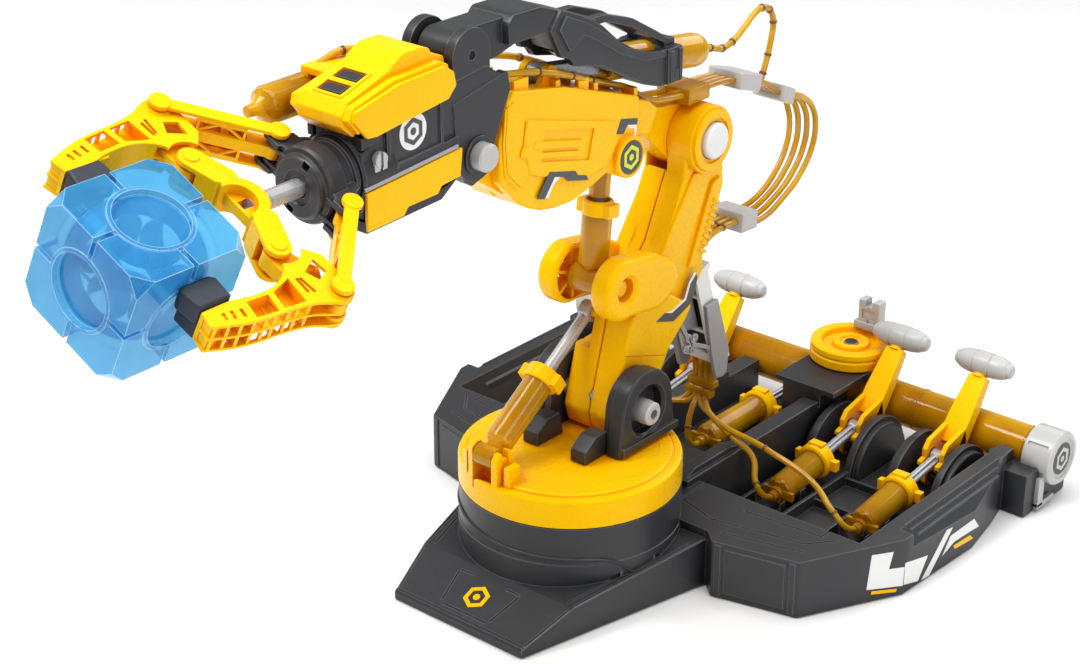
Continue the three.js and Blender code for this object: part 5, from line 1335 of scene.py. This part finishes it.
def link_piece():
    """The link frame: spine, walls, straps and the cylinder's seat."""
    spine = (arc(*LINK_AT, 7.6, 90, 285, 24) +
        [(-50, 229.5), (-40, 232), (-26, 234.4), (-14, 225), (8, 221), (8, 228), (-4, 233.6),
            (-30, 243.4), (-46, 243.6)])
    crown = [(-47, 233.4), (-47.6, 241.6), (-44.6, 244.6), (-30, 244.2), (-8, 236), (2, 231.4), (0, 222),
        (-14, 222), (-24, 233.2)]
    wall = [(-18, 219.6), (-26, 234), (-20, 240.6), (-8, 235.6), (4, 229), (14, 220.6), (24, 214.8),
        (34, 211.4), (45, 210), (45, 196), (40, 195.8), (30, 199.2), (14, 208), (4, 213.4), (-10, 216.8)]
    pan = [(-8, 219), (6, 215.4), (30, 202.4), (44, 198.6), (44, 196), (40, 195.8), (30, 199.2),
        (14, 207.6), (0, 214.2)]
    strap = [(-4, 232.6), (8, 232), (24, 226.6), (39, 218), (48, 212.4), (48, 210), (38, 215.2),
        (23, 223.6), (8, 229), (-4, 229.4)]
    parts = [prism("X", crown, -10.2, 10.2, 1.2, 2), prism("X", pan, -10.6, 10.6, 0.3),
        box(-12.4, 12.4, 42.4, 51.4, 196, 210.4, 0.8)]
    for s in (-1, 1):
        parts.append(prism("X", wall, *sided(s, 8.2, 11.2), 0.7, 2))
        parts.append(prism("X", [(-16, 224), (-22, 233.4), (-18, 238), (-6, 232.6), (6, 225.4), (16, 218),
                    (28, 213), (41, 210), (41, 208), (28, 209.4), (12, 216.6), (0, 224), (-8, 228.4)],
                *sided(s, 10.4, 12.2), 0.4))
        parts.append(prism("X", strap, *sided(s, 5.6, 9.4), 0.4))
    parts += [box(-9.4, 9.4, 43.6, 50, 208, 213.2, 0.6), box(-9, 9, -6, -1, 228.6, 232.4, 0.4)]
    body = carve(prism("X", spine, -6.8, 6.8, 0.9, 2), parts,
        [rod("X", *LINK_AT, 3.3, -20, 20), drum(LINK_EYE, LINK_DIR, 7.3, 34, 90, 0, 48),
            drum(LINK_EYE, LINK_DIR, 4.6, 0, 40, 0, 40), rod("X", *LINK_ROD_EYE, 8, -20, 20),
            box(-6.4, 6.4, 46, 62, 190, 207)])
    ribs = [box(x - 0.9, x + 0.9, 49, 52.9, 196.4, 209.6, 0.3) for x in (-10, 10)]
    ribs += [box(-3.2, 3.2, 47, 52.6, 207.4, 211.6, 0.4), box(-5.8, -4, 49, 53.2, 207, 210, 0.3),
        box(4, 5.8, 49, 53.2, 207, 210, 0.3)]
    for s in (-1, 1):
        low, high = sided(s, 11.8, 13.1)
        ribs += [box(low, high, 43.4, 45.2, 196.6, 209.6, 0.3),
            box(low, high, 48.8, 50.6, 196.6, 209.6, 0.3), box(low, high, 45.4, 48.4, 197.6, 201.6, 0.3)]
    return carve(body, ribs)


piece("link_frame", link_piece(), DARK, "link", "link_shell")
LINK_GLASS = [(0, 36), (6.9, 36), (6.9, 94), (6.6, 96.4), (5.8, 98.6), (4.4, 100.4), (2.9, 101.2),
    (2.2, 101.8), (2.2, 103.4), (0, 103.4)]
link_bore = turned(LINK_EYE, LINK_DIR, [(0, 34), (5.4, 34), (5.4, 94), (4, 97), (0, 97)], 0, 48)
link_glass = carve(turned(LINK_EYE, LINK_DIR, LINK_GLASS, 0, 64), cut=[link_bore])
piece("link_glass", link_glass, AMBER, "link", "link_cylinder", angle=50)
away = (LINK_ROD_EYE[0] + LINK_DIR[1] * 33, LINK_ROD_EYE[1] + LINK_DIR[2] * 33)
link_bar = carve(turned(LINK_EYE, LINK_DIR, [(0, 0), (2.6, 0), (2.6, 52), (4.1, 52), (4.1, 56), (0, 56)],
        0.1, 40), [rod("X", *LINK_ROD_EYE, 4.2, -2.8, 2.8, 0.5, 48),
        strut(LINK_ROD_EYE, away, 3.1, -2.7, 2.7, 0.4)], [rod("X", *LINK_ROD_EYE, 2.05, -20, 20, 0, 32)])
piece("link_blade", link_bar, SILVER, "link_rod", "link_rod")

# ---- gripper ----------------------------------------------------------------------------------
# Its own frame: X across the jaws, -Y forward, Z normal to the jaws' plane.
ROLL = Matrix.Translation((0, 0, GRIP_Z * MM)) @ Matrix.Rotation(GRIP_ROLL, 4, "Y")
LUG_AT, ELBOW_AT, CLAW_AT = (18.5, -136.5), (46, -166), (22, -172)


def head_piece():
    """The round gripper head with its two lugs."""
    profile = [(0, 0), (6, 0), (6, 18.6), (13.3, 18.6), (13.3, 20.4), (12.2, 20.8), (12.2, 24.4),
        (13.2, 24.8), (13.7, 25.4), (13.7, 31.4), (13.1, 32.4), (11.4, 32.8), (11.0, 34.4), (10.4, 35),
        (6.2, 35), (5.8, 34.2), (0, 34.2)]
    parts = []
    for sign in (1, -1):
        outer = [(8, -127.4), (13.4, -127.6), (14.6, -130.6), (17, -131), (17.8, -133.2), (21.6, -133.6),
            (22.6, -135.2), (22.6, -139.6), (20.4, -140.8), (14, -140.8), (13.4, -139), (8, -139)]
        inner = [(8, -128.6), (12.6, -129), (15, -133.8), (19.6, -134), (21.2, -136), (21.2, -138.6),
            (18, -140), (8, -140)]
        for z0, z1, outline, soft in ((4.7, 6.5, outer, 0.35), (2.95, 4.2, inner, 0.3),
                (-4.2, -2.95, inner, 0.3), (-6.5, -4.7, outer, 0.35)):
            parts.append(prism("Z", flip(outline, sign), z0, z1, soft))
        parts.append(box(*sided(sign, 9, 13.4), -138.6, -129.4, -6.2, 6.2, 0.3))
        parts.append(box(*sided(sign, 9, 16), -131.6, -130.4, 2.8, 6.2, 0.2))
        parts.append(box(*sided(sign, 9, 16), -131.6, -130.4, -6.2, -2.8, 0.2))
        parts.append(rod("Z", sign * LUG_AT[0], LUG_AT[1], 1.7, -6.4, 6.4, 0, 24))
    head = turned((0, -107, 0), (0, -1, 0), profile, 0.1, 96)
    notches = [box(-1.6, 1.6, -143, -138, s * 9.4 - 1.4, s * 9.4 + 1.4) for s in (-1, 1)]
    clear_of_links = [rod("Z", s * LUG_AT[0], LUG_AT[1], 4.6, -2.8, 2.8, 0, 32) for s in (-1, 1)]
    pins = [rod("Z", s * LUG_AT[0], LUG_AT[1], 1.7, -4, 4, 0, 24) for s in (-1, 1)]
    body = carve(head, parts, [rod("Y", 0, 0, 3.7, -143, -110)] + notches + clear_of_links)
    return carve(body, pins)


piece("head", head_piece(), DARK, "gripper", "gripper_head", at=ROLL)

stem = turned((0, -112, 0), (0, -1, 0),
    [(0, 0), (3.3, 0), (3.3, 44), (3.6, 44.4), (3.6, 47), (3.2, 47.4), (3.2, 52), (0, 52)], 0.15, 40)
flats = ([box(-1.5, 1.5, -156, -140, s * 3.6 - 0.8, s * 3.6 + 0.8) for s in (-1, 1)] +
    [box(s * 3.6 - 0.7, s * 3.6 + 0.7, -156, -140, -1.6, 1.6) for s in (-1, 1)])
piece("stem", carve(stem, cut=flats), SILVER, "crosshead", at=ROLL)


def crosshead_piece():
    """The crosshead: a bow with two arms that carry the claws."""
    bow = carve(prism("Z", arc(0, -169.4, 10.4, -8, 188, 36), -6.2, 6.2, 0.9, 3),
        cut=[prism("Z", arc(0, -170.6, 7.0, -20, 200, 32), -7, 7)])
    arms = []
    for sign in (1, -1):
        top = flip([(7.4, -163.6), (10.6, -162.6), (20.6, -166.4)] + arc(*CLAW_AT, 4.6, 62, -110, 14) +
            [(9.6, -172.2), (7.6, -170)], sign)
        for z0, z1 in ((4.3, 6.4), (-6.4, -4.3)):
            arms.append(prism("Z", top, z0, z1, 0.6))
        rail = flip([(8.4, -165.2), (17.4, -168.4), (16.9, -169.8), (8.2, -166.8)], sign)
        arms.append(prism("Z", rail, -5, 5, 0.15))
        lower = flip([(8.6, -170.2), (16.2, -173.4), (15.8, -174.6), (8.8, -171.8)], sign)
        arms.append(prism("Z", lower, -5, 5, 0.15))
        for t in (9.6, 12.4, 15.2):
            fall = (t - 9) * 0.35
            rib = [(t, -165.6 - fall), (t + 0.9, -165.8 - fall), (t + 0.7, -171.6 - fall),
                (t - 0.2, -171.4 - fall)]
            arms.append(prism("Z", flip(rib, sign), -4.6, 4.6))
        arms.append(prism("Z", flip([(8.4, -165.2), (17.4, -168.4), (16, -174), (8.6, -171)], sign), -0.7,
                0.7))
        arms.append(rod("Z", sign * CLAW_AT[0], CLAW_AT[1], 1.8, -6, 6, 0, 24))
        arms.append(rod("Z", sign * CLAW_AT[0], CLAW_AT[1], 2.6, 6, 6.9, 0.3, 32))
    block = box(-8, 8, -169, -161.4, -2.2, 2.2, 0.4)
    return carve(bow, [block] + arms, [rod("Y", 0, 0, 2.9, -168, -120)])


piece("crosshead_shell", crosshead_piece(), YELLOW, "crosshead", "crosshead", at=ROLL)


def smooth(points, steps=6):
    """A curve through points, Catmull-Rom."""
    ends = [points[0]] + points + [points[-1]]
    out = []
    for i in range(1, len(ends) - 2):
        p0, p1, p2, p3 = (Vector(p) for p in ends[i - 1:i + 3])
        for k in range(steps):
            t = k / steps
            q = 0.5 * ((2 * p1) + (p2 - p0) * t + (2 * p0 - 5 * p1 + 4 * p2 - p3) * t * t +
                (3 * p1 - p0 - 3 * p2 + p3) * t ** 3)
            out.append((q.x, q.y))
    return out + [tuple(points[-1])]


CLAW_OUT = smooth([(46, -161), (50.4, -165), (50, -170), (47, -177), (45.4, -186), (44.6, -196),
        (43, -205), (39.6, -215.4)], 8)
CLAW_IN = smooth([(33.4, -214), (33.4, -203), (34.8, -196), (35, -187), (33, -180.6), (29, -176),
        (24, -176.6)], 8)
OUTER_PLATES = ((4.6, 5.8), (-5.8, -4.6))


def level_with(curve, y):
    """The point of a curve nearest to a distance forward."""
    return Vector(min(curve, key=lambda p: abs(p[1] - y)))


def across(y, low, high):
    """Two points at shares of the claw's width, level with a point of its inner edge."""
    a, b = level_with(CLAW_IN, y), level_with(CLAW_OUT, y - 1.5)
    return a.lerp(b, low), a.lerp(b, high)


def claw_piece(sign):
    """One claw: three plates, ribs, windows, elbow, pivot and tip."""
    outline = [CLAW_AT, (24.8, -166.4), (31, -161)] + CLAW_OUT + CLAW_IN
    plates = [prism("Z", flip(outline, sign), z0, z1, 0.35) for z0, z1 in OUTER_PLATES + ((-0.6, 0.6),)]
    inner_edge = [(sign * (x + 0.9), y) for x, y in CLAW_IN if x > 31][::2]
    walls = [beam(p, q, 0.8, -5, 5) for p, q in zip(inner_edge, inner_edge[1:])]
    for i in range(9):
        p, q = across(-177.6 - 4.3 * i, 0.04, 0.97)
        walls.append(beam((sign * p.x, p.y), (sign * q.x, q.y), 0.6, -5, 5))
    holes = []
    for y in (-178.6, -189.6):
        p, q = across(y, 0.18, 0.88)
        r, t = across(y - 8.4, 0.18, 0.88)
        corners = [(sign * c.x, c.y) for c in (p, q, t, r)]
        holes += [prism("Z", corners, 1, 9), prism("Z", corners, -9, -1)]
    for y in (-201, -204.2, -207.4, -173, -175.4):
        p, q = across(y, 0.4, 0.74)
        holes += [beam((sign * p.x, p.y), (sign * q.x, q.y), 0.6, z0, z1) for z0, z1 in ((3, 9), (-9, -3))]
    slot = [(31.4, -165.4), (37.4, -164.8), (39.4, -169.6), (34.6, -171.8)]
    yoke = [(30, -150), (40, -150), (51, -158), (51, -166), (40, -166), (30, -160)]
    holes += [prism("Z", flip(slot, sign), -9, 9),
        prism("Z", circle(sign * CLAW_AT[0], CLAW_AT[1], 7.6, 32), -9, 9),
        prism("Z", circle(sign * ELBOW_AT[0], ELBOW_AT[1], 5.6, 32), -2.7, 2.7),
        prism("Z", flip(yoke, sign), -2.7, 2.7)]
    body = carve(carve(plates[0], plates[1:] + walls), cut=holes)
    elbow, pivot = (sign * ELBOW_AT[0], ELBOW_AT[1]), (sign * CLAW_AT[0], CLAW_AT[1])
    web = flip([(22, -168.2), (22, -175.8), (33, -176), (33, -164)], sign)
    tip = flip([(33.6, -196), (36.4, -195), (39.4, -208), (39.2, -214.6), (33.6, -213.4)], sign)
    solid = [rod("Z", *elbow, 4.4, 3, 6.3, 0.5, 40), rod("Z", *elbow, 4.4, -6.3, -3, 0.5, 40),
        rod("Z", *elbow, 1.8, -5.2, 5.2, 0, 24), rod("Z", *pivot, 4.2, -2.9, 2.9, 0.3, 32),
        prism("Z", web, -2.9, 2.9, 0.3), prism("Z", tip, -5, 5, 0.4)]
    return carve(body, solid, [rod("Z", *pivot, 2.05, -9, 9, 0, 24)])


def jaw_link_piece(sign):
    """One jaw link: a core between two plates with lattice bars."""
    a, b = Vector((sign * LUG_AT[0], LUG_AT[1])), Vector((sign * ELBOW_AT[0], ELBOW_AT[1]))
    along_link = (b - a).normalized()
    side = Vector((-along_link.y, along_link.x))

    def at(t, k):
        p = a.lerp(b, t) + side * k
        return (p.x, p.y)

    core = prism("Z", [at(0, 3), at(0, -3), at(1, -3), at(1, 3)], -2.3, 2.3, 0.2)
    parts = [rod("Z", *a, 3.8, -2.3, 2.3, 0.2, 40), rod("Z", *b, 3.8, -2.3, 2.3, 0.2, 40)]
    for z0, z1 in ((6.7, 8.3), (-8.3, -6.7)):
        crown = z1 + (0.5 if z0 > 0 else 0)
        parts += [prism("Z", [at(-0.02, 2.5), at(-0.02, -2.5), at(1.0, -2.5), at(1.0, 2.5)], z0, z1, 0.5),
            rod("Z", *a, 3.7, z0, crown, 0.6, 40), rod("Z", *b, 3.9, z0, crown, 0.6, 40)]
    parts += [rod("Z", *a, 1.5, -8, 8, 0, 24), rod("Z", *b, 1.5, -8, 8, 0, 24)]
    for k in (-2.3, 2.3):
        rail = [at(0.27, k - 0.35), at(0.66, k - 0.35), at(0.66, k + 0.35), at(0.27, k + 0.35)]
        parts += [prism("Z", rail, z0, z1) for z0, z1 in ((-7, -5.9), (-2.4, 2.4), (5.9, 7))]
    for t0, t1, z0, z1 in ((0.27, 0.46, 2, 7), (0.46, 0.66, 7, 2), (0.27, 0.46, -2, -7),
            (0.46, 0.66, -7, -2)):
        for k in (-2.3, 2.3):
            parts.append(bar3((*at(t0, k), z0), (*at(t1, k), z1), 0.5))
    for t in (0.27, 0.66):
        stay = [at(t - 0.012, 2.6), at(t - 0.012, -2.6), at(t + 0.012, -2.6), at(t + 0.012, 2.6)]
        parts.append(prism("Z", stay, -7, 7))
    windows = [prism("Z", [at(t, 1.6), at(t, -1.6), at(t + 0.15, -1.6), at(t + 0.15, 1.6)], -2.6, 2.6)
        for t in (0.24, 0.46)]
    return carve(carve(core, cut=windows), parts)


def bar3(p, q, half):
    """A thin square bar between two points in space."""
    p, q = Vector(p), Vector(q)
    return turned(tuple(p), tuple(q - p),
        [(0, 0), (half, 0), (half, (q - p).length), (0, (q - p).length)], 0, 8)


def pad_piece(sign):
    """One rubber pad with its foot and slots."""
    face = [(22.6, -214.2), (22.6, -203), (24.4, -200.6), (33, -201.4), (33, -214.2), (24.6, -215.8)]
    foot = [(23.6, -213.4), (23.6, -204), (33, -203), (33, -213.4)]
    grip = carve(prism("Z", flip(face, sign), -0.6, 7.2, 1.4, 3),
        [prism("Z", flip(foot, sign), -7, 0, 0.8)])
    slots = [box(*sided(sign, 21, 24.4), y - 0.6, y + 0.6, -8, -1.4) for y in (-206.4, -210.8)]
    slots.append(box(*sided(sign, 21, 24.4), -214, -202, -4.6, -3.8))
    return carve(grip, cut=slots)


for side, sign in SIDES:
    piece(f"claw_{side}_frame", claw_piece(sign), YELLOW, body_of(f"claw_{side}"), f"claw_{side}", at=ROLL)
    piece(f"jaw_link_{side}_frame", jaw_link_piece(sign), YELLOW, body_of(f"jaw_link_{side}"),
        f"jaw_link_{side}", at=ROLL)
    piece(f"jaw_pad_{side}_block", pad_piece(sign), RUBBER, body_of(f"jaw_pad_{side}"), f"jaw_pad_{side}",
        at=ROLL)

# ---- clear block ------------------------------------------------------------------------------
BLOCK = ROLL @ Matrix.Translation((0, -0.2086, -0.0089))
HALF, WINDOW_R, WELL_R = 22, 12.6, 12.2


def octahedron(r):
    """An octahedron round the origin."""
    points = [(r, 0, 0), (-r, 0, 0), (0, r, 0), (0, -r, 0), (0, 0, r), (0, 0, -r)]
    faces = [[a, b, c] for a in (0, 1) for b in (2, 3) for c in (4, 5)]
    return mesh_of(points, faces)


def block_piece():
    """The clear block: a cube with cut corners, grooves, and a rim and a dish on each face."""
    cube = carve(box(-HALF, HALF, -HALF, HALF, -HALF, HALF), keep=[octahedron(HALF * 2.74)])
    grooves, rims, dishes = [], [], []
    for axis in "XYZ":
        for s in (-1, 1):
            low, high = sided(s, HALF - 1.9, HALF + 1)
            grooves.append(prism(axis, [(-0.9, -40), (0.9, -40), (0.9, 40), (-0.9, 40)], low, high))
            grooves.append(prism(axis, [(-40, -0.9), (40, -0.9), (40, 0.9), (-40, 0.9)], low, high))
            rims.append(rod(axis, 0, 0, 14.9, *sided(s, HALF - 3, HALF - 0.4), 0.3, 72))
            lip = rod(axis, 0, 0, 14.1, *sided(s, HALF - 3, HALF + 0.4), 0.4, 72)
            rims.append(carve(lip, cut=[rod(axis, 0, 0, 12.5, -40, 40, 0, 72)]))
            dishes.append(rod(axis, 0, 0, WINDOW_R, low, high, 0, 72))
    return carve(carve(carve(cube, cut=grooves), rims), cut=dishes)


piece("block_shell", block_piece(), BLUE, "block", "clear_block", at=BLOCK)
WELL = [(WELL_R - 0.5, WELL_R), (WELL_R, WELL_R), (WELL_R, 19.6), (WELL_R - 0.5, 19.6),
    (WELL_R - 0.5, WELL_R)]
for i, direction in enumerate(((0, 0, 1), (0, -1, 0), (1, 0, 0), (0, 0, -1), (0, 1, 0), (-1, 0, 0))):
    piece(f"block_well_{i}", turned((0, 0, 0), direction, WELL, 0, 64), BLUE, "block", at=BLOCK, angle=50)


# ---- hoses ------------------------------------------------------------------------------------
STRANDS = (-4.5, -1.5, 1.5, 4.5)
HOSE_R = 1.3


def joint_ring(name, place, direction, body):
    """A dark band round a hose."""
    ring = turned(place, direction, [(1.2, -0.6), (1.62, -0.45), (1.62, 0.45), (1.2, 0.6), (1.2, -0.6)],
        0, 20)
    piece(name, ring, BAND, body)


def hose(name, route, body, rings=(), node=None):
    """One hose, with dark bands at some of its points."""
    thing = tube(name, route, HOSE_R, HOSE, body)
    if node:
        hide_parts(node)
        replaced.add(node)
    for i in rings:
        after, before = Vector(route[min(i + 1, len(route) - 1)]), Vector(route[max(i - 1, 0)])
        joint_ring(f"{name}_ring{i}", route[i], tuple(after - before), body)


HOSE_END = 64.4
for i, x in enumerate(LEVER_XS):
    y, z = PIN_Y - math.cos(TILT) * HOSE_END, PIN_Z - math.sin(TILT) * HOSE_END
    s, wide, end = math.copysign(1, x), abs(x), STRANDS[3 - i] * 0.9
    route = [(x, y + 1, z), (x * 0.985, y - 5, z + 3.4), (x * 0.93, y - 7, z + 9),
        (s * (wide * 0.72 + 4), 77, 27 + i % 2), (s * (wide * 0.42 + 5), 77.6, 34), (s * 11, 80.6, 38.2),
        (end * 1.2, 84.6, 41.4), (end, 86.5, 46)]
    hose(f"console_hose_{i + 1}", route, "base", (2, 4), "hoses_console" if i == 0 else None)
hose("console_hose_5", [(0, 88, 18.6), (0, 84, 19.2), (0, 80, 23), (0, 79, 30), (0, 81.6, 38),
        (0, 85.4, 42.6), (0, 86.5, 46)], "base", (3,))
piece("console_tie", box(-6.8, 6.8, 84.4, 88.8, 42.6, 45.8, 0.6), AMBER, "base")
piece("guide_tie", box(-6.8, 6.8, 86.4, 91.2, 46.4, 49.6, 0.6), AMBER, "lower_arm")

for i, x in enumerate(STRANDS):
    k = i * 2.2
    hose(f"guide_hose_{i + 1}", [(x, 89, 47), (x * 1.05, 89.6, 54), (x, 87.6, 64), (x, 81.5, 84),
            (x, 75.6, 102), (x, 75, 109), (x, 80, 116), (x * 1.1, 92, 119.4), (x * 1.1, 104, 118.6)],
        "lower_arm", (7,), "hoses_loop" if i == 0 else None)
    route = [(x * 1.1, 104, 118.6), (x * 1.1, 118, 117 - k * 0.4), (x, 132 + k, 120), (x, 143 + k, 127),
        (x, 150 + k, 136), (x, 152 + k, 145), (x, 150 + k * 0.9, 154), (x, 145 + k * 0.5, 161),
        (x, 137, 165.6), (x, 130, 168.2), (x, 118, 175.4), (x, 108, 179)]
    loop = tube(f"loop_hose_{i + 1}", route, HOSE_R, HOSE, None)
    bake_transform(loop)
    if i in (0, 3):
        top = [(x, 108, 179), (x, 98, 182), (x, 88, 183.8), (x, 70, 184.6), (x, 54, 186), (x, 40, 189.4),
            (x, 34, 193), (x, 26, 198), (x, 16, 202)]
        over = [(-9, 2, 208.6), (-14, -14, 216), (-18, -34, 221)]
        if i == 3:
            over = [(7, 2, 207.6), (9.4, -12, 213.4), (9, -30, 219.6), (5.4, -46, 222)]
        hose(f"forearm_hose_{i + 1}", top + over, "forearm", (9, 10, 11) if i == 3 else (9, 10),
            "hoses_forearm" if i == 3 else None)
    else:
        hose(f"forearm_hose_{i + 1}", [(x, 108, 179), (x, 98, 182), (x, 88, 183.8), (x, 78, 184.4),
                (x, 70, 184.6)], "forearm")
CLIPS = [
    ("low_clip", GREY, "lower_arm", 8.4, [(101, 114.4), (102, 123), (112.6, 122), (112.6, 113.6)]),
    ("high_clip", GREY, "forearm", 8.4, [(128, 165.4), (130, 172), (137, 168.6), (135, 162)]),
    ("neck_clip", AMBER, "forearm", 8.2, [(62, 181.2), (62, 187.8), (76, 187.4), (76, 181.2)]),
    ("neck_bracket", GREY, "forearm", 8.6, [(96, 179), (97, 186), (112, 181.6), (110, 174.6)]),
]
for name, material, body, half, outline in CLIPS:
    piece(name, prism("X", outline, -half, half, 0.8), material, body)
for i, (y, z) in enumerate(((26, 198.6), (2, 206.8), (-20, 213.6))):
    saddle = [box(-9, -3.4, y - 1.2, y + 1.2, z - 3, z + 0.4, 0.3),
        box(3.4, 9.6, y - 1.2, y + 1.2, z - 3, z + 0.4, 0.3)]
    piece(f"hose_saddle_{i}", merged(*saddle), YELLOW, "forearm")

loop_route = [(0, 81.6, 198.6), (0, 86, 197.6), (0, 94.2, 195.4), (0, 101, 196.4), (0, 109, 200.4),
    (0, 115.3, 204.4), (0, 121, 206), (0, 126.4, 204), (0, 129.6, 198), (0.4, 128, 191),
    (0.8, 125.6, 185), (1.2, 122, 178), (1.4, 119.6, 174)]
hose("link_hose", loop_route, "link", (1, 2, 3, 6, 7, 8, 10, 11), "hose_link")
hose("wrist_hose", [(-14, -78, 232), (-18, -87, 236), (-21, -98, 238.4), (-23, -106, 236),
        (-24, -112, 232.6), (-25, -120, 231.6)], "wrist", (2,))

# ---- the rest of the nodes ------------------------------------------------------------------
for name in sorted(NODES):
    if name not in replaced:
        slot = NODE_SLOT[name]
        piece(name + "_skin", copied(name), FINISHES[slot], body_of(name), name)

ground = bpy.data.meshes.new("floor")
reach = 3.0
ground.from_pydata([(-reach, -reach, 0), (reach, -reach, 0), (reach, reach, 0), (-reach, reach, 0)], [],
    [(0, 1, 2, 3)])
ground.materials.append(FLOOR)
floor = linked("floor", ground)
floor.location.z = -0.0002
